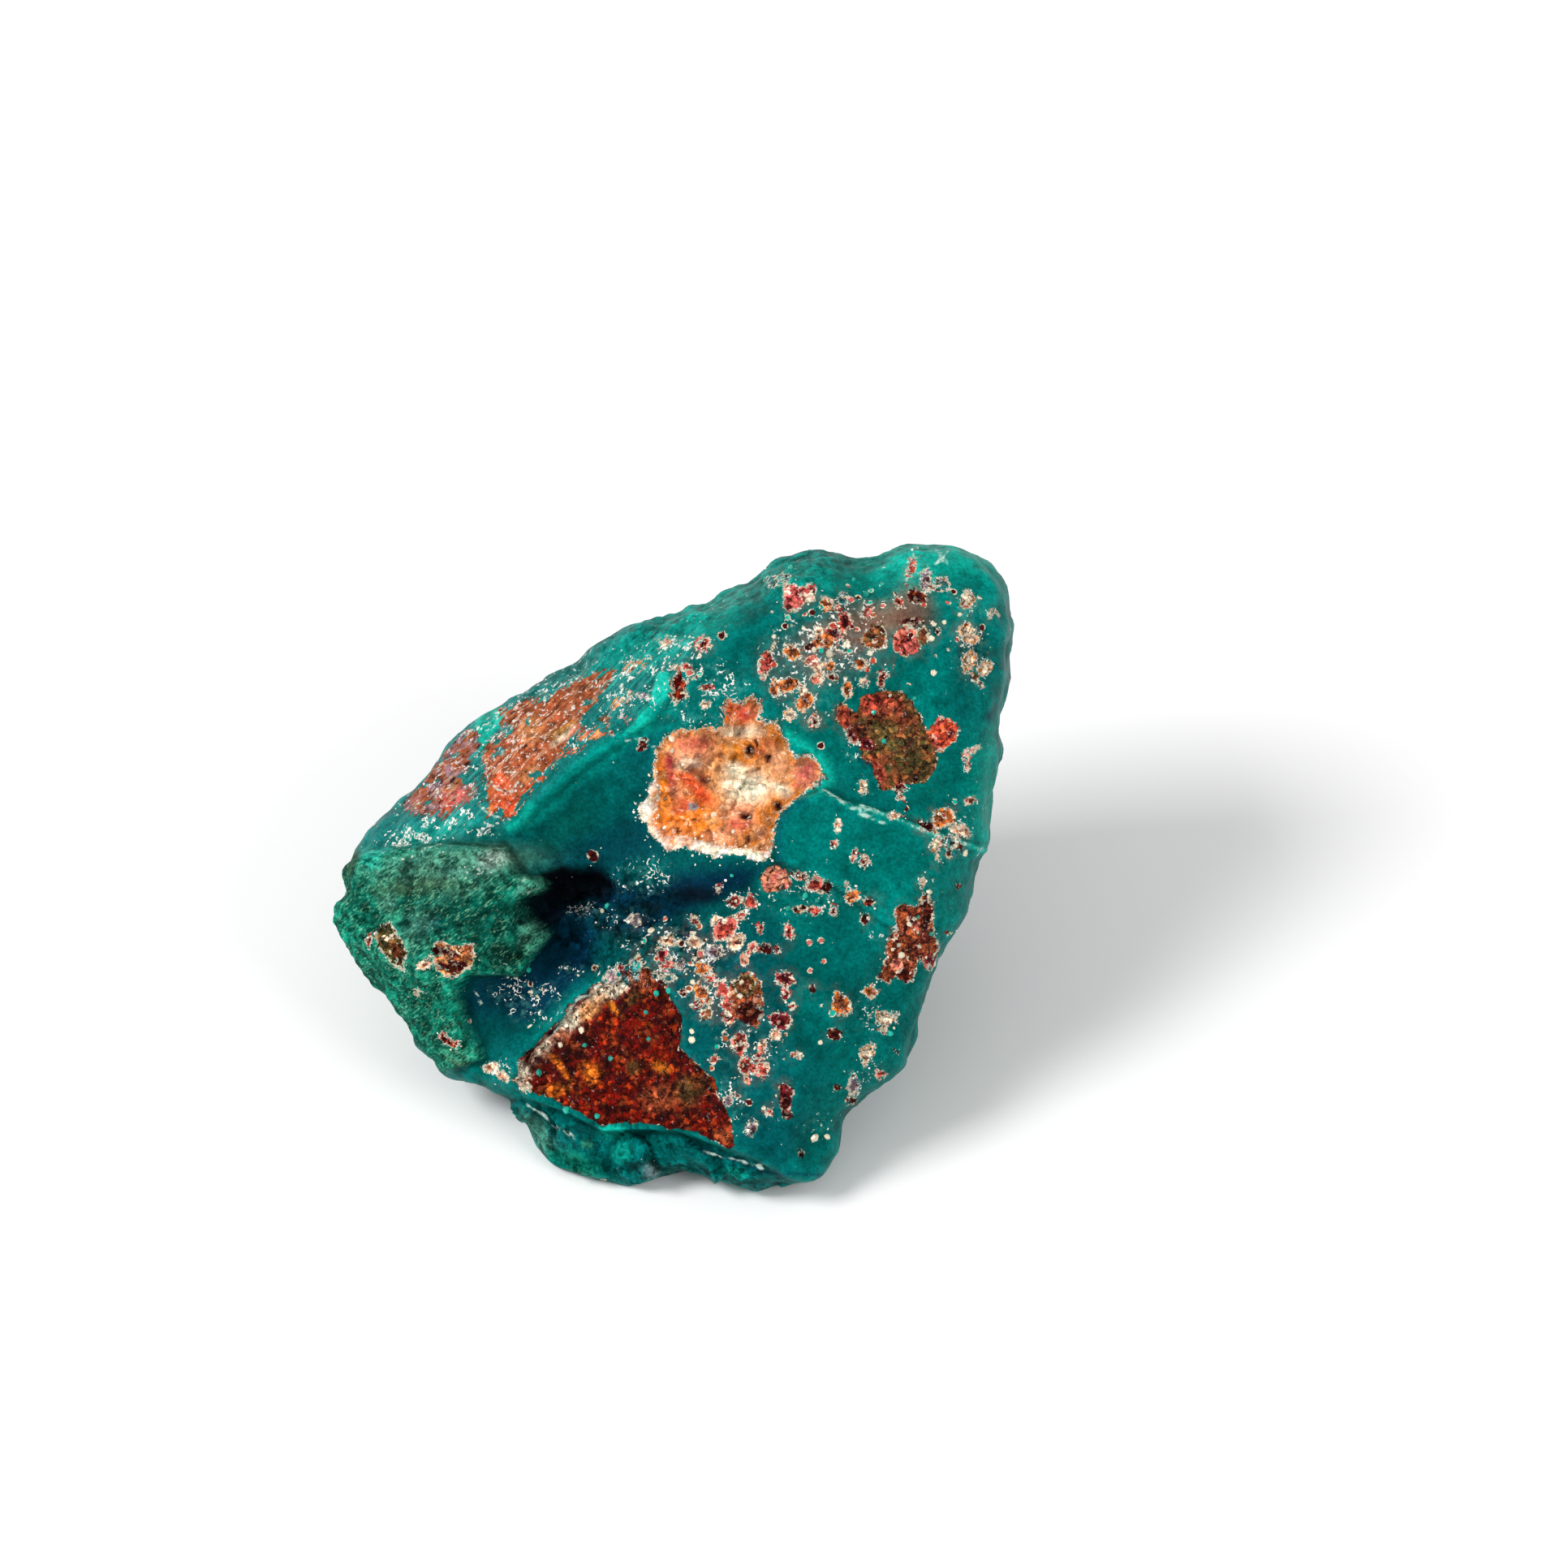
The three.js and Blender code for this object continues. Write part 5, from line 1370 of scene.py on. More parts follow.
def add_mesh(name: str, points: Array, faces: Array) -> bpy.types.Object:
    """Makes a smooth-shaded mesh object of faces that all have the same number of corners.

    Args:
        name: the piece's name.
        points: shape (n, 3), in metres, in the row frame.
        faces: corner numbers, shape (m, 3) or (m, 4).

    Returns:
        The new object, linked to the scene.
    """
    mesh = bpy.data.meshes.new(name)
    count, corners = faces.shape
    mesh.vertices.add(len(points))
    mesh.vertices.foreach_set("co", points.ravel())
    mesh.loops.add(count * corners)
    mesh.loops.foreach_set("vertex_index", faces.ravel())
    mesh.polygons.add(count)
    mesh.polygons.foreach_set("loop_start", np.arange(count) * corners)
    mesh.polygons.foreach_set("use_smooth", np.ones(count, bool))
    mesh.update(calc_edges=True)
    mesh.validate()
    made = bpy.data.objects.new(name, mesh)
    bpy.context.scene.collection.objects.link(made)
    return made


# ---- finishes -------------------------------------------------------------------------------------
class Graph:
    """A material's shader graph, built node by node."""

    def __init__(self, name: str) -> None:
        """Starts an empty material."""
        self.material = bpy.data.materials.new(name)
        self.material.use_nodes = True
        self.tree = self.material.node_tree
        self.tree.nodes.clear()

    def add(self, kind: str, inputs: Iterable = (), **settings) -> bpy.types.Node:
        """Adds a node with its settings and inputs.

        Args:
            kind: the node's type without its "ShaderNode" prefix.
            inputs: values by socket name or number, or in order. A socket or a node (for its first
                output) is linked, anything else is set as a constant.
            **settings: the node's own properties.

        Returns:
            The new node.
        """
        node = self.tree.nodes.new("ShaderNode" + kind)
        for name, value in settings.items():
            setattr(node, name, value)
        for key, value in (inputs.items() if isinstance(inputs, dict) else enumerate(inputs)):
            if isinstance(value, bpy.types.Node):
                value = value.outputs[0]
            if isinstance(value, bpy.types.NodeSocket):
                self.tree.links.new(value, node.inputs[key])
            else:
                node.inputs[key].default_value = value
        return node

    def attribute(self, name: str, output: str) -> bpy.types.NodeSocket:
        """Reads one of the mesh's attributes."""
        return self.add("Attribute", attribute_name=name).outputs[output]

    def fold(self, operation: str, *terms) -> bpy.types.Node:
        """Applies one operation from term to term."""
        total = terms[0]
        for term in terms[1:]:
            total = self.add("Math", [total, term], operation=operation)
        return total

    def sum(self, *terms) -> bpy.types.Node:
        """Adds terms together."""
        return self.fold("ADD", *terms)

    def product(self, *terms) -> bpy.types.Node:
        """Multiplies terms together."""
        return self.fold("MULTIPLY", *terms)

    def centred(self, value) -> bpy.types.Node:
        """Takes a half off a noise, whose middle then lies at 0."""
        return self.fold("SUBTRACT", value, 0.5)

    def size(self, value) -> bpy.types.Node:
        """The value without its sign."""
        return self.add("Math", [value], operation="ABSOLUTE")

    def mixed(self, share, under, over, blend: str = "MIX") -> bpy.types.NodeSocket:
        """Lays a share of one colour over another."""
        return self.add("Mix", {0: share, 6: under, 7: over}, data_type="RGBA", blend_type=blend).outputs[2]

    def ramp(self, value, low: float, high: float, start: float = 0.0, end: float = 1.0) -> bpy.types.Node:
        """Turns a value from low to high into start to end, held beyond them."""
        return self.add("MapRange", [value, low, high, start, end])

    def swing(self, value, start: float, end: float) -> bpy.types.Node:
        """Turns a noise, which mostly keeps between 0.3 and 0.7, into start to end."""
        return self.ramp(value, 0.3, 0.7, start, end)

    def shaded(self, colour, value) -> bpy.types.NodeSocket:
        """Multiplies a colour by a value."""
        return self.mixed(1.0, colour, self.add("CombineXYZ", [value, value, value]), "MULTIPLY")

    def channels(self, colour) -> bpy.types.Node:
        """Splits a colour into red, green and blue."""
        return self.add("SeparateColor", [colour])


def rgba(tint: Tint) -> tuple[float, float, float, float]:
    """A tint as a shader constant."""
    return (*linear(tint.value), 1.0)


class StoneFinish(Graph):
    """Waxy blue-green silicate with iron-stained quartz patches: every width is in millimetres.

    It gives the eye a soft sheen over cloudy teal, rough rusty patches with cream crusts round them,
    ringed specks and white glints, chalky green on the lump and drawn-out frost on the streaked face.
    Light on crests and knobs, and shade in creases, hollows, cracks and holes, are painted into the colour.
    A ramp's first two numbers are the levels of a noise or a distance between which a layer fades in.
    """

    broad_width = 2.6            # broad clouds of light and dark
    mottle_width = 0.55          # mottling of the silicate
    patch_mix = 0.7              # how the two colours of a patch mingle
    lump_width = 0.3             # the lumps that a patch is made of
    hole_spacing = 0.8
    bend = 0.7                   # how far noise bends the lumps and the holes
    sand_width = 0.12            # sandy grain of the patches
    speck_spacing = 0.8
    thread_width = 0.34          # how tightly the white threads curl
    edge_wander = 0.75           # how far the patches' edges wander
    rim_width = 0.085            # the cream crust round a patch
    streak_turn = 46.0           # which way the streaked face is drawn, in degrees
    streak_lengths = (1.6, 0.2, 0.5)
    fleck_turn = 38.0            # which way the lump's flecks are drawn, in degrees
    fleck_lengths = (0.36, 0.13, 0.26)
    sheen = (0.06, 1.0, 0.92, 1)  # the silicate's own reflections are turquoise
    speck_stops = ((0.0, Tint.MAROON), (0.2, Tint.BRICK), (0.45, Tint.PINK), (0.62, Tint.RUST),
                   (0.78, Tint.CREAM), (0.88, Tint.TURQUOISE))

    def __init__(self) -> None:
        """Reads the mesh's attributes and makes the noises that several layers share."""
        super().__init__("copper silicate rock")
        self.at = self.attribute("show_at", "Vector")
        self.tint = {name: self.attribute(name, "Color")
                     for name in ("body_tint", "patch_tint", "patch_core")}
        self.dose = {name: self.attribute(name, "Fac")
                     for name in ("patch_edge", "rim", "pits", "speckle", "frost", "chalk", "streak",
                                  "rugged", "crest", "clean", "glint")}
        self.broad = self.cloud(self.broad_width, 2.0)
        self.mottle = self.cloud(self.mottle_width, 5.0, roughness=0.68)
        self.sand = self.cloud(self.sand_width, 2.0)
        self.knobs = self.cloud(0.9, 4.0, roughness=0.65)
        self.flecks = self.cloud(1.0, 3.0, self.stretched(self.fleck_turn, self.fleck_lengths), 0.65)
        self.streaks = self.add("TexNoise", {
            "Vector": self.stretched(self.streak_turn, self.streak_lengths), "Scale": 1.0,
            "Detail": 3.0, "Roughness": 0.6, "Distortion": 0.5}).outputs[0]
        self.wander = self.centred(self.cloud(0.6, 4.0, roughness=0.62))
        # Small hollows: sunk a little by the bump and darkened in the silicate as painted shade.
        self.hollow = self.product(self.ramp(self.cloud(0.9, 5.0, roughness=0.7), 0.47, 0.37, 0.0, 0.8),
                                   self.ramp(self.dose["rugged"], 0.4, 1.0))
        self.plain = self.fold("SUBTRACT", 1.0, self.product(self.dose["clean"], 0.6))
        self.edge = self.wandering_edge()
        self.off_edge = self.size(self.edge)
        self.inside = self.ramp(self.edge, 0.04, -0.04)

    def cloud(self, width: float, detail: float = 3.0, vector=None,
              roughness: float = 0.55) -> bpy.types.Node:
        """Cloudy noise."""
        return self.add("TexNoise", {"Vector": self.at if vector is None else vector, "Scale": 1 / width,
                                     "Detail": detail, "Roughness": roughness})

    def stretched(self, turn: float, lengths: tuple[float, float, float]) -> bpy.types.Node:
        """Places to read a noise at, so that it is turned and drawn out to these lengths."""
        return self.add("Mapping", {"Vector": self.at, "Rotation": (0, 0, math.radians(turn)),
                                    "Scale": lengths}, vector_type="TEXTURE")

    def cells(self, width: float, vector) -> tuple[bpy.types.NodeSocket, bpy.types.Node]:
        """Cells about a seed each: the distance to the nearest seed, and its three random numbers."""
        made = self.add("TexVoronoi", {"Vector": vector, "Scale": 1 / width})
        return made.outputs["Distance"], self.channels(made.outputs["Color"])

    def wandering_edge(self) -> bpy.types.Node:
        """Distance to the patches' edge: it wanders, is jagged at crusts and combed on the streaked face."""
        jag = self.centred(self.cloud(0.2, 1.0))
        combing = self.sum(self.swing(self.streaks, -0.45, 0.45),
                           self.ramp(self.cloud(1.1), 0.54, 0.68, 0.0, 0.9))
        return self.sum(self.dose["patch_edge"], self.product(self.wander, self.edge_wander),
                        self.product(jag, self.ramp(self.dose["rim"], 0.2, 1.0, 0.15, 0.55)),
                        self.product(self.dose["streak"], combing))

    def silicate(self) -> bpy.types.NodeSocket:
        """The silicate: clouds and mottling, painted light on crests, and painted shade in creases and small
        hollows.
        """
        body = self.shaded(self.tint["body_tint"], self.ramp(self.cloud(1.5), 0.46, 0.70, 1.0, 0.72))
        fine = self.product(self.swing(self.mottle, -0.5, 0.5),
                            self.ramp(self.dose["rugged"], 0.0, 1.0, 0.45, 1.3))
        # Clouds and mottling, then painted light on crests and painted shade in creases (the crest factor).
        body = self.shaded(body, self.product(
            self.swing(self.broad, 0.66, 0.94), self.sum(1.0, fine),
            self.swing(self.cloud(0.2, 2.0), 0.72, 1.28),
            self.ramp(self.dose["crest"], -1.0, 1.0, 0.55, 1.5)))
        # Painted shade: the small hollows darkened to a fifth.
        return self.mixed(self.hollow, body, self.shaded(body, 0.2))

    def chalk(self, body) -> bpy.types.NodeSocket:
        """The chalky lump: knobs with painted light on top and painted shade between, dark crumbs and pale
        flecks.
        """
        lump = self.dose["chalk"]
        # Painted light and shade: the noise that raises the knobs in the bump also lightens their tops and
        # darkens between.
        body = self.mixed(lump, body, self.shaded(body, self.ramp(self.knobs, 0.38, 0.62, 0.35, 1.5)))
        crumbs = self.product(lump, self.ramp(self.flecks, 0.52, 0.38, 0.0, 0.95),
                              self.ramp(self.cloud(1.4), 0.6, 0.4, 0.3, 1.0))
        body = self.mixed(crumbs, body, rgba(Tint.CHALK_DARK))
        pale = self.product(lump, self.ramp(self.flecks, 0.52, 0.68, 0.0, 0.85),
                            self.ramp(self.cloud(1.1), 0.38, 0.6, 0.1, 1.0))
        return self.mixed(pale, body, rgba(Tint.CHALK_PALE))

    def veil(self, body) -> bpy.types.NodeSocket:
        """Frost combed along the streaked face, haze where frost lies, and rusty halos among specks."""
        combed = self.product(self.dose["streak"], self.dose["frost"],
                              self.ramp(self.streaks, 0.5, 0.66, 0.0, 0.5))
        haze = self.product(self.dose["frost"], self.ramp(self.cloud(0.5, 4.0), 0.5, 0.75, 0.0, 0.25))
        halo = self.product(self.ramp(self.edge, 0.6, 0.0, 0.0, 0.38),
                            self.ramp(self.dose["speckle"], 0.1, 0.5),
                            self.ramp(self.cloud(0.8), 0.42, 0.58))
        for share, tint in ((combed, Tint.COMBED), (haze, Tint.HAZE), (halo, Tint.HALO)):
            body = self.mixed(share, body, rgba(tint))
        return body

    def threads(self) -> bpy.types.Node:
        """White threads of frost, which also stand in as painted sparkle: short pieces of the contour lines
        of noise, more of them where frost lies.
        """
        curl = self.ramp(self.size(self.centred(self.cloud(self.thread_width, 1.0))), 0.055, 0.02)
        line = self.ramp(self.size(self.centred(self.streaks)), 0.045, 0.02)
        strand = self.fold("MAXIMUM", curl, self.product(self.dose["streak"], line))
        frosty = self.product(self.dose["frost"], self.ramp(self.cloud(0.9), 0.40, 0.60))
        fringe = self.product(self.ramp(self.off_edge, 0.30, 0.05), self.dose["rim"], 0.75)
        grainy = self.product(self.ramp(self.edge, 0.1, -0.1),
                              self.ramp(self.dose["rim"], 0.0, 1.0, 0.2, 0.5), self.plain)
        amount = self.product(self.fold("MAXIMUM", frosty, fringe, grainy), 0.44)
        return self.product(strand, self.ramp(self.sum(self.cloud(0.3, 1.0), amount), 0.76, 0.82))

    def quartz(self) -> tuple[bpy.types.NodeSocket, bpy.types.Node, bpy.types.Node]:
        """The stained quartz of the patches.

        Returns:
            Its colour, the height of its lumps and sand in millimetres, and how deep its holes are.
        """
        bent = self.add("VectorMath", [self.at, self.add(
            "VectorMath", [self.cloud(0.5).outputs["Color"], (self.bend,) * 3], operation="MULTIPLY")],
            operation="ADD")
        from_lump, label = self.cells(self.lump_width, bent)
        from_hole, hole = self.cells(self.hole_spacing, bent)
        streak, crusty = self.dose["streak"], self.ramp(self.dose["rim"], 0.4, 0.9)
        loose = self.fold("SUBTRACT", self.plain, self.product(streak, 0.75))

        # Lumps of many tints: some dark, some light, and pale ones where there are crusts.
        patch = self.mixed(self.ramp(self.cloud(self.patch_mix, 4.0), 0.42, 0.60),
                           self.tint["patch_tint"], self.tint["patch_core"])
        dark = self.product(self.ramp(label.outputs[1], 0.80, 0.86), loose)
        patch = self.mixed(self.product(dark, 0.8), patch, rgba(Tint.DARK_GRAIN))
        light = self.product(self.ramp(label.outputs[2], 0.72, 0.78), loose)
        patch = self.mixed(light, patch, self.mixed(0.13, self.shaded(patch, 1.8), rgba(Tint.ORANGE)))
        pale = self.product(self.ramp(label, 0.92, 0.95), loose, crusty)
        patch = self.mixed(self.product(pale, 0.8), patch, rgba(Tint.CREAM))

        # Light and dark: drawn out on the streaked face, and lump by lump elsewhere, with painted shade in
        # the cracks between lumps.
        drawn_out = self.sum(self.swing(self.streaks, -0.3, 0.3), self.swing(self.sand, -0.3, 0.3),
                             self.swing(self.cloud(0.5, 4.0), -0.6, 0.6))
        lumpy = self.sum(self.ramp(label, 0.0, 1.0, -0.4, 0.45), self.ramp(from_lump, 0.25, 0.65, 0.14, -0.5),
                         self.swing(self.sand, -0.35, 0.35))
        contrast = self.add("Mix", {0: streak, 2: lumpy, 3: drawn_out})
        # Painted light on crests and painted shade in creases, from the crest factor.
        patch = self.shaded(patch, self.product(self.sum(1.0, self.product(contrast, self.plain)),
                                                self.ramp(self.dose["crest"], -1.0, 1.0, 0.7, 1.4)))
        straw = self.product(streak, self.ramp(self.streaks, 0.50, 0.68, 0.0, 0.8),
                             self.ramp(self.cloud(1.2), 0.42, 0.58))
        patch = self.mixed(straw, patch, rgba(Tint.STRAW))
        # Painted shade: the holes, sunk only a little by the bump, are darkened towards black-red.
        deep = self.product(self.ramp(from_hole, 0.36, 0.2), self.plain,
                            self.fold("LESS_THAN", hole, self.dose["pits"]))
        patch = self.mixed(self.product(deep, 0.85), patch, rgba(Tint.HOLE_SHADE))
        height = self.sum(self.product(self.sand, 0.06), self.product(from_lump, -0.12), -0.06)
        return patch, height, deep

    def crust(self) -> bpy.types.Node:
        """Share of the cream crust round the patches."""
        present = self.ramp(self.sum(self.cloud(0.4, 2.0), self.product(self.dose["rim"], 0.22)), 0.62, 0.70)
        return self.product(self.ramp(self.off_edge, self.rim_width, self.rim_width * 0.4), present)

    def specks(self) -> tuple[bpy.types.Node, bpy.types.Node, bpy.types.Node]:
        """Shares of the ringed specks' pale rings and of their cores, and the cores' colours."""
        distance, label = self.cells(self.speck_spacing, self.at)
        kept = self.fold("LESS_THAN", label, self.dose["speckle"])
        away = self.sum(distance, self.product(self.wander, 0.5), self.product(label.outputs[1], -0.16))
        core = self.product(self.ramp(away, 0.13, 0.10), kept)
        ring = self.product(self.ramp(away, 0.23, 0.19), kept, self.ramp(self.cloud(0.3, 1.0), 0.42, 0.5))
        tints = self.add("ValToRGB", [label.outputs[2]])
        elements = tints.color_ramp.elements
        tints.color_ramp.interpolation = "CONSTANT"
        for index, (place, stop) in enumerate(self.speck_stops):
            element = elements[index] if index < 2 else elements.new(place)
            element.position, element.color = place, rgba(stop)
        return ring, core, tints

    def build(self) -> bpy.types.Material:
        """Lays the layers over each other and builds the material."""
        patch, patch_height, deep = self.quartz()
        crust, threads = self.crust(), self.threads()
        ring, core, core_tints = self.specks()
        hue = self.product(self.inside, self.ramp(self.dose["streak"], 0.0, 1.0, 0.8, 0.2), self.plain)
        thread_tint = self.mixed(hue, rgba(Tint.WHITE), self.shaded(patch, 2.0))
        off_line = self.sum(self.dose["glint"], self.product(self.wander, 0.35))
        glint = self.product(self.ramp(off_line, 0.13, 0.04), self.ramp(self.cloud(0.5), 0.42, 0.55))
        colour = self.veil(self.chalk(self.silicate()))
        # Layers: patches, cream crusts, rings, specks' cores, white threads (frost and painted sparkle) and
        # glints (painted highlights along edges, and pale healed cracks).
        for share, tint in ((self.inside, patch), (self.product(crust, 0.95), rgba(Tint.CREAM)),
                            (self.product(ring, 0.9), rgba(Tint.CREAM)), (core, core_tints),
                            (self.product(threads, 0.95), thread_tint),
                            (self.product(glint, 0.75), rgba(Tint.GLINT))):
            colour = self.mixed(share, colour, tint)

        # Each layer's height, in millimetres.
        chalk, rugged = self.dose["chalk"], self.dose["rugged"]
        heights = ((self.broad, 0.05), (self.mottle, self.ramp(rugged, 0.0, 1.0, 0.035, 0.22)),
                   (self.product(self.flecks, chalk), 0.22), (self.product(self.knobs, chalk), 0.6),
                   (self.product(self.streaks, self.dose["streak"]), 0.10), (self.hollow, -0.15),
                   (self.inside, patch_height), (self.product(deep, self.inside), -0.12),
                   (crust, 0.025), (ring, 0.025), (core, -0.04), (threads, 0.01))
        height = self.sum(*(self.product(layer, high) for layer, high in heights))
        rough = self.sum(self.swing(self.mottle, 0.34, 0.5), self.product(self.inside, 0.22),
                         self.product(chalk, 0.30))
        self.add("OutputMaterial", [self.add("BsdfPrincipled", {
            "Base Color": colour, "Roughness": rough, "IOR": 1.54, "Specular IOR Level": 0.05,
            "Specular Tint": self.mixed(self.inside, self.sheen, (1, 1, 1, 1)),
            "Normal": self.add("Bump", {"Strength": 1.0, "Distance": MM, "Height": height})})])
        return self.material


@dataclass(frozen=True)
class GrainFinish:
    """Small clear-faced crystals, each in its own tint: bright and glossy against the waxy stone."""

    roughness: float = 0.22

    def build(self) -> bpy.types.Material:
        """Builds the material."""
        g = Graph("crystal grains")
        tint = g.add("Attribute", attribute_name="grain_tint").outputs["Color"]
        g.add("OutputMaterial", [g.add("BsdfPrincipled", {
            "Base Color": tint, "Roughness": self.roughness, "IOR": 1.55, "Subsurface Weight": 0.15,
            "Subsurface Radius": (0.2 * MM, 0.2 * MM, 0.2 * MM), "Subsurface Scale": 1.0})])
        return g.material


# ---- small crystals -------------------------------------------------------------------------------
@dataclass
class GrainBed:
    """Small crystals grown on the stone, gathered into one joined mesh."""

    rng: np.random.Generator
    centres: list[Array] = field(default_factory=list)
    axes: list[Array] = field(default_factory=list)
    sizes: list[Array] = field(default_factory=list)
    tints: list[Array] = field(default_factory=list)
    lean: float = 0.9            # how far the axes stray from the surface's normals
    lift: float = 0.15           # how far the centres stand off the surface, in radii
    shoulder: float = 0.35       # where the prism ends and its point begins, in half lengths
    wobble: float = 0.22         # how uneven the prism's edges are
    sides: int = 6

    def add(self, centres: Array, normals: Array, radius: Array, length: Array, tints: Array) -> None:
        """Adds grains, each leaning its own way off the surface.

        Args:
            centres: shape (n, 3), in the show frame.
            normals: the surface's normals there.
            radius: each grain's radius across.
            length: each grain's half length.
            tints: each grain's linear colour.
        """
        axes = normals + self.rng.normal(0, self.lean, centres.shape)
        self.centres.append(centres + normals * (self.lift * radius)[:, None])
        self.axes.append(axes / np.linalg.norm(axes, axis=1)[:, None])
        self.sizes.append(np.column_stack([radius, length]))
        self.tints.append(tints)

    def mesh(self) -> tuple[Array, Array, Array]:
        """Six-sided prisms with a point at each end: all points, triangles and a tint for each point."""
        centres, axes = np.concatenate(self.centres), np.concatenate(self.axes)
        sizes, tints = np.concatenate(self.sizes), np.concatenate(self.tints)
        count = len(centres)
        helper = np.where(np.abs(axes[:, :1]) < 0.9, [[1.0, 0, 0]], [[0, 1.0, 0]])
        u = np.cross(axes, helper)
        u /= np.linalg.norm(u, axis=1)[:, None]
        v = np.cross(axes, u)
        k = np.arange(self.sides)
        turn = k * math.pi * 2 / self.sides
        uneven = 1 + self.rng.uniform(-self.wobble, self.wobble, (count, self.sides))
        ring = (u[:, None] * np.cos(turn)[:, None] + v[:, None] * np.sin(turn)[:, None]) * \
            (uneven * sizes[:, :1])[:, :, None]
        rise = axes * sizes[:, 1:]
        points = np.concatenate([
            centres[:, None] + ring + self.shoulder * rise[:, None],
            centres[:, None] + ring - self.shoulder * rise[:, None],
            (centres + rise)[:, None], (centres - rise)[:, None]], axis=1)
        after, tip = (k + 1) % self.sides, 2 * self.sides     # the two tips come after the two rings
        cell = np.concatenate([
            np.column_stack([k, after, np.full(self.sides, tip)]),
            np.column_stack([after + self.sides, k + self.sides, np.full(self.sides, tip + 1)]),
            np.column_stack([k + self.sides, after + self.sides, after]),
            np.column_stack([k + self.sides, after, k])])
        corners = points.shape[1]
        triangles = (cell[None] + np.arange(count)[:, None, None] * corners).reshape(-1, 3)
        return points.reshape(-1, 3), triangles, np.repeat(tints, corners, axis=0)


@dataclass
class Placing:
    """Turns the show frame into the row frame: the stone's box comes to stand where the CAD box stands."""

    show: ShowFrame
    shift: Array

    @classmethod
    def over(cls, show: ShowFrame, points: Array) -> "Placing":
        """Finds the shift that puts the middle of these points' box over the middle of the CAD node's."""
        low, high = (np.array(corner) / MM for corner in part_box(NODE))
        row = show.to_row(points)
        shift = (low + high) / 2 - (row.min(axis=0) + row.max(axis=0)) / 2
        shift[2] = -row[:, 2].min()
        return cls(show, shift)

    def metres(self, points: Array) -> Array:
        """Points of the show frame in the row frame, in metres."""
        return (self.show.to_row(points) + self.shift) * MM


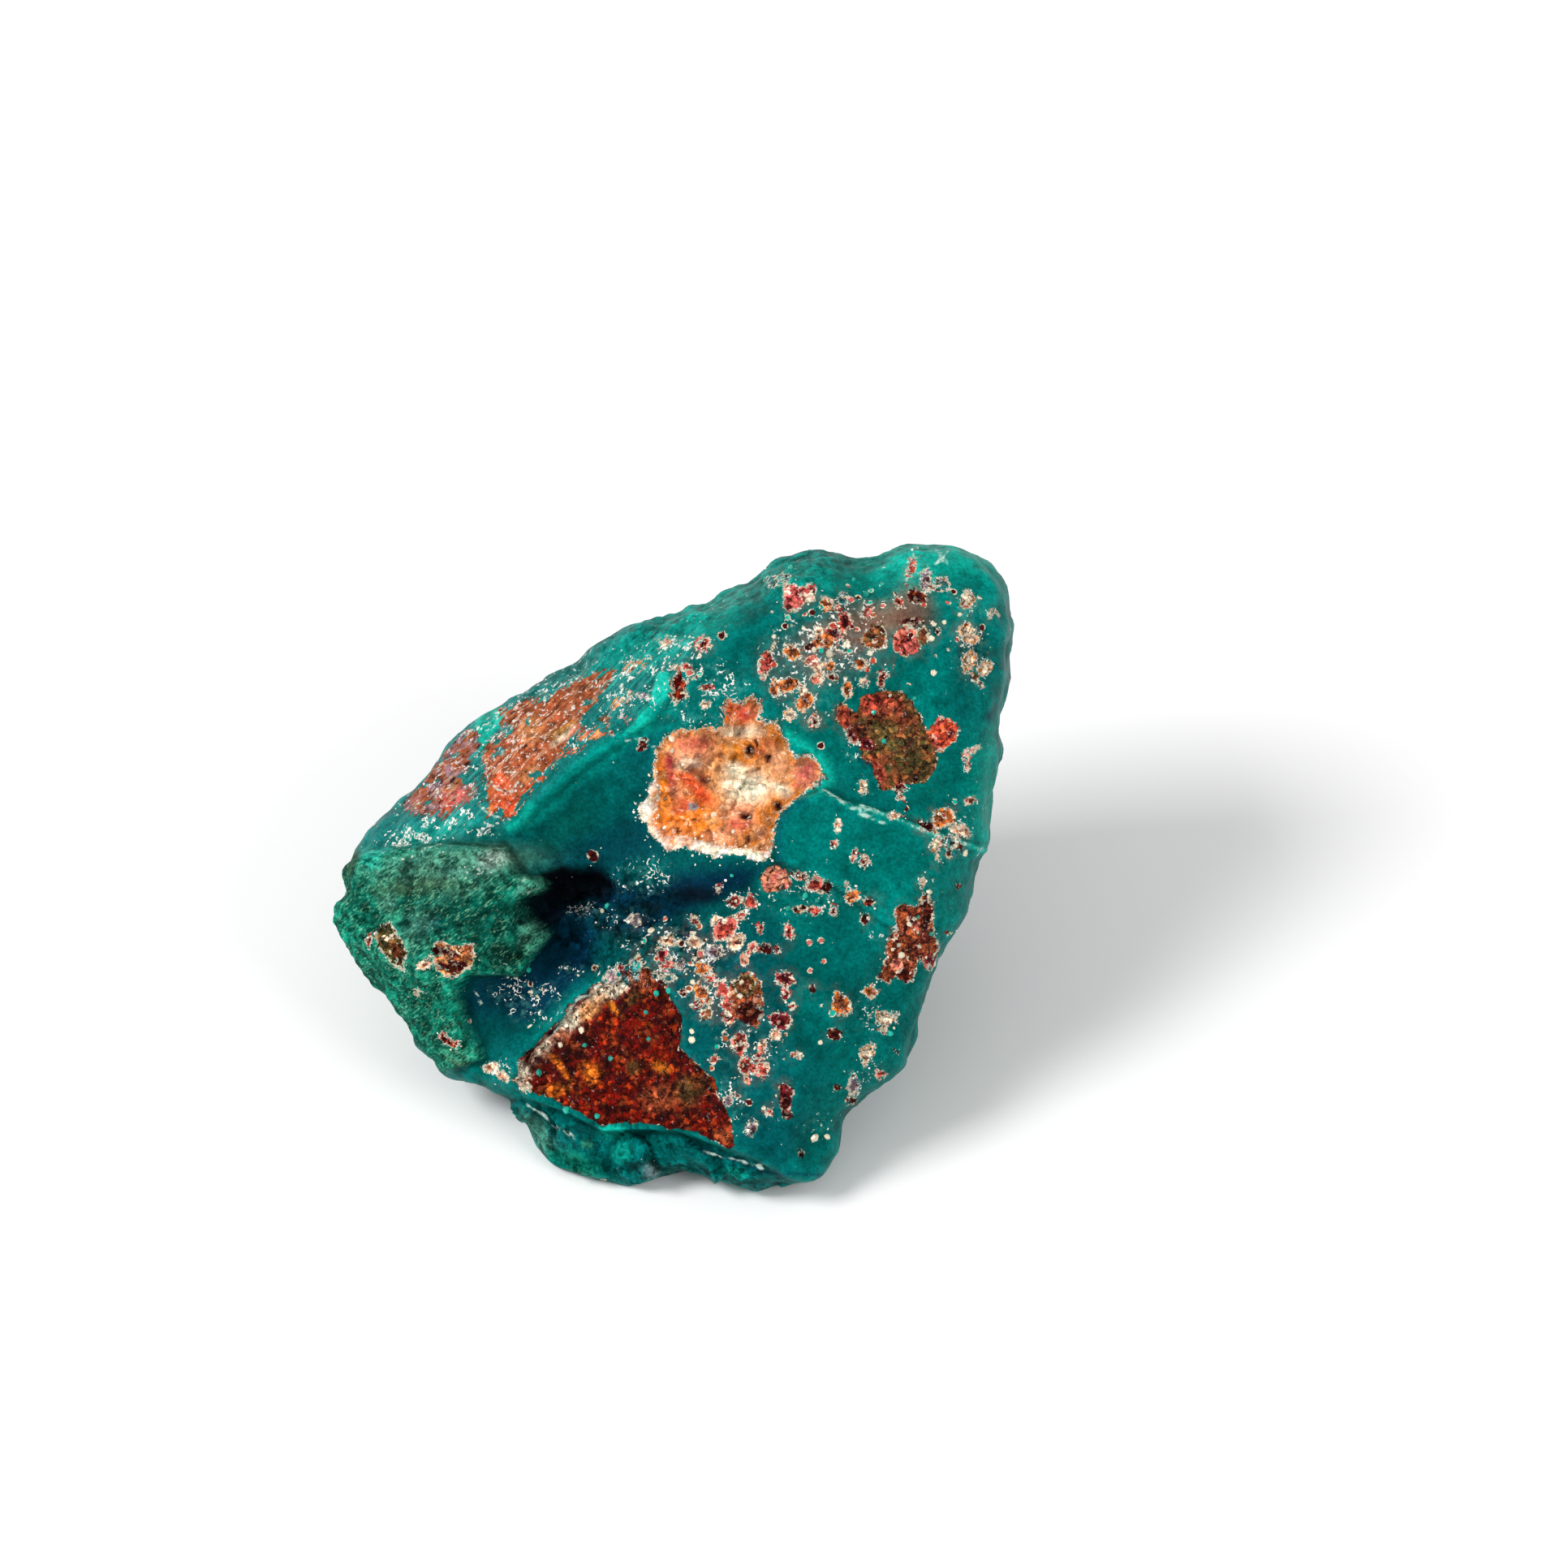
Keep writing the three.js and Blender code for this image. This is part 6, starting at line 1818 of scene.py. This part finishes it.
class Specimen:
    """The whole hand piece: the stone and the small crystals on it."""

    druse = 420                      # how many tiny crystals are strewn
    drift = 0.14                     # how far each strays from its point of the surface
    thinnest = 0.035                 # radius of the smallest of them
    thicker = 0.07                   # how much more the largest has
    slender = (0.9, 1.5)             # half length of the tiny crystals, in radii
    white_share = 0.7                # the others are cream
    named_scale = 0.8                # how large the named crystals are against their rows below
    shading = (0.55, 1.05)           # how dark and how bright they may be
    pebbles = (
        (-0.2, 8.35, .33), (-0.2, 7.5, .2), (2.6, 3.3, .3), (3.95, 2.25, .24), (9.2, 14.25, .26),
        (10.1, 13.9, .34), (8.6, 11.5, .24), (16.8, -1.65, .27), (15.3, -3.8, .25), (14.75, -5.15, .23),
        (14.9, -5.85, .3), (16.1, -5.3, .2), (9.15, -17.95, .38), (10.05, -17.7, .28), (14.1, 11.2, .17),
        (-7.6, -11.8, .25), (-6.2, -10.85, .26), (-4.8, -3.0, .2), (5.3, 4.4, .25), (18.7, 2.5, .25),
        (-9.1, -8.6, .13), (-10.9, -8.0, .1), (-7.2, -6.7, .14), (-6.4, -7.3, .12), (12.6, -3.4, .12))
    gems = (
        (-4.4, -2.65, .27), (-9.7, -6.8, .25), (-1.15, -8.25, .26), (-0.4, -8.1, .25), (-1.85, -9.6, .2),
        (-5.9, -11.8, .2), (-4.3, -12.7, .24), (-1.65, -11.4, .2), (-8.9, -13.7, .3), (8.5, -2.05, .28),
        (9.3, -2.2, .22), (7.5, -2.7, .27), (13.1, 10, .2), (13.8, 8.15, .22), (14.1, -11.1, .24),
        (7.6, 19.6, .3), (12.7, 17.8, .28), (11.7, 18.8, .2), (15.9, 11, .2), (-7.1, -15.8, .3),
        (15.95, -3.35, .16), (16.8, -4.5, .2), (3.7, -.7, .16), (-5.2, -16.6, .25))

    def __init__(self) -> None:
        """Grows, carves and places the stone."""
        form = StoneForm()
        grown, squares = Growth().surface(form)
        self.surface = Surface(form, grown, squares)
        self.surface.points = Relief(self.surface).carve()
        self.placing = Placing.over(form.show, self.surface.points)
        self.coat = Coat(self.surface)

    def stone(self) -> bpy.types.Object:
        """Builds the stone itself, painted and finished."""
        made = add_mesh("stone", self.placing.metres(self.surface.points), self.surface.squares)
        self.coat.apply(made.data)
        made.data.materials.append(StoneFinish().build())
        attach(made, BODY)
        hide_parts(NODE)
        return made

    def nearest(self, places: Iterable[tuple[float, ...]]) -> Array:
        """Numbers of the show side's points nearest to places on the show face."""
        shown = np.flatnonzero(self.surface.front > 0.9)
        s, t = self.surface.s[shown], self.surface.t[shown]
        return np.array([shown[np.argmin(np.hypot(s - place[0], t - place[1]))] for place in places])

    def crystals(self) -> bpy.types.Object:
        """Builds the small crystals: pale quartz on crusts and frost, green dioptase in named places."""
        rng = np.random.default_rng(7)
        bed = GrainBed(rng)
        points, values = self.surface.points, self.coat.values
        normals = vertex_normals(points, self.surface.squares)
        crust = values["rim"] ** 2 * bell(values["patch_edge"] - 0.05, 0.2)
        fringe = bell(FRINGE.distance(self.surface.s, self.surface.t), 0.3) * self.surface.front
        frost = 0.35 * values["frost"] ** 2 * (1 - 0.6 * values["streak"])
        weight = (0.1 * crust + 0.6 * fringe + 0.05 * frost) * self.surface.bed
        chosen = rng.choice(len(points), self.druse, replace=False, p=weight / weight.sum())
        radius = self.thinnest + self.thicker * rng.random(len(chosen)) ** 2
        white = rng.random(len(chosen))[:, None] < self.white_share
        pale = np.where(white, Tint.WHITE.rgb(), Tint.CREAM.rgb())
        strayed = rng.normal(0, self.drift, (len(chosen), 3))
        strayed -= normals[chosen] * (strayed * normals[chosen]).sum(axis=1)[:, None]
        bed.add(points[chosen] + strayed, normals[chosen], radius,
                radius * rng.uniform(*self.slender, len(chosen)), pale)
        for places, slimness, tint in ((self.pebbles, 0.9, Tint.CREAM), (self.gems, 1.2, Tint.TURQUOISE)):
            named, radius = self.nearest(places), self.named_scale * np.array(places)[:, 2]
            shades = tint.rgb() * rng.uniform(*self.shading, (len(named), 1))
            bed.add(points[named], normals[named], radius, radius * slimness, shades)
        corners, triangles, tints = bed.mesh()
        made = add_mesh("crystal_grains", self.placing.metres(corners), triangles)
        made.data.polygons.foreach_set("use_smooth", np.zeros(len(triangles), bool))
        paint(made.data, "grain_tint", tints)
        made.data.materials.append(GrainFinish().build())
        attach(made, BODY)
        return made


# ---- the studio -----------------------------------------------------------------------------------
def turn_to(thing: bpy.types.Object, direction) -> None:
    """Turns a lamp or a camera so that it looks in a direction."""
    thing.rotation_mode = "QUATERNION"
    thing.rotation_quaternion = direction.to_track_quat("-Z", "Y")


@dataclass(frozen=True)
class Lamp:
    """A soft square light: where it stands and how wide it is, in metres, and its power in watts."""

    name: str
    place: tuple[float, float, float]
    width: float
    power: float

    def build(self, target: Array) -> None:
        """Adds the light, turned towards the target."""
        light = bpy.data.lights.new(self.name, "AREA")
        light.size, light.energy = self.width, self.power
        made = bpy.data.objects.new(self.name, light)
        bpy.context.scene.collection.objects.link(made)
        made.location = self.place
        turn_to(made, Vector(target) - made.location)


@dataclass(frozen=True)
class Studio:
    """A plain pale floor under soft daylight-like light, and the camera square to the show face."""

    floor_size: float = 6.0
    floor_drop: float = 0.02         # keeps the floor off the stone's base, in millimetres
    world_strength: float = 0.5
    camera_distance: float = 0.8
    frame_width: float = 103.87      # what the frame spans at the stone's centre, in millimetres
    off_centre: Point = (7.2, 5.38)  # how far the stone's centre stands left of and below the middle, in mm
    lamps: tuple[Lamp, ...] = (
        Lamp("key", (-0.60, -0.15, 0.65), 0.35, 6.0),
        Lamp("fill", (0.65, -0.50, 0.55), 0.5, 2.8))

    def build_floor(self) -> bpy.types.Object:
        """Adds the floor."""
        half = self.floor_size / 2
        corners = np.array([[-half, -half, 0], [half, -half, 0], [half, half, 0], [-half, half, 0]])
        floor = add_mesh("floor", corners - [0, 0, self.floor_drop * MM], np.array([[0, 1, 2, 3]]))
        g = Graph("floor")
        g.add("OutputMaterial", [g.add("BsdfPrincipled", {
            "Base Color": (0.98, 0.98, 0.98, 1), "Roughness": 0.9, "Specular IOR Level": 0.1})])
        floor.data.materials.append(g.material)
        return floor

    def build_light(self, target: Array) -> None:
        """Adds the even pale surroundings and the soft lamps."""
        world = bpy.data.worlds.new("studio")
        world.use_nodes = True
        back = world.node_tree.nodes["Background"]
        back.inputs["Color"].default_value = (1, 1, 1, 1)
        back.inputs["Strength"].default_value = self.world_strength
        bpy.context.scene.world = world
        for lamp in self.lamps:
            lamp.build(target)
        bpy.context.scene.view_settings.view_transform = "Standard"

    def build_camera(self, placing: Placing) -> None:
        """Adds the camera, square to the show face, with the stone a little left of and below the middle."""
        data = bpy.data.cameras.new("camera")
        data.sensor_width = 36.0
        data.lens = data.sensor_width * self.camera_distance / (self.frame_width * MM)
        data.clip_start, data.clip_end = 0.01, 20
        camera = bpy.data.objects.new("camera", data)
        bpy.context.scene.collection.objects.link(camera)
        aim = placing.metres(np.array([*self.off_centre, 0.0])[None])[0]
        back = placing.show.axes[2]
        camera.location = aim + back * self.camera_distance
        turn_to(camera, -Vector(back))
        bpy.context.scene.camera = camera


def main() -> None:
    """Builds the specimen and its studio, and reports each piece."""
    logging.basicConfig(level=logging.INFO, format="%(message)s")
    specimen = Specimen()
    for piece in (specimen.stone(), specimen.crystals()):
        LOG.info("%s: %d faces", piece.name, len(piece.data.polygons))
    studio = Studio()
    studio.build_floor()
    target = specimen.placing.metres(np.zeros((1, 3)))[0]
    studio.build_light(target)
    studio.build_camera(specimen.placing)
    LOG.info("floor, lights and camera placed")


if __name__ == "__main__":
    main()
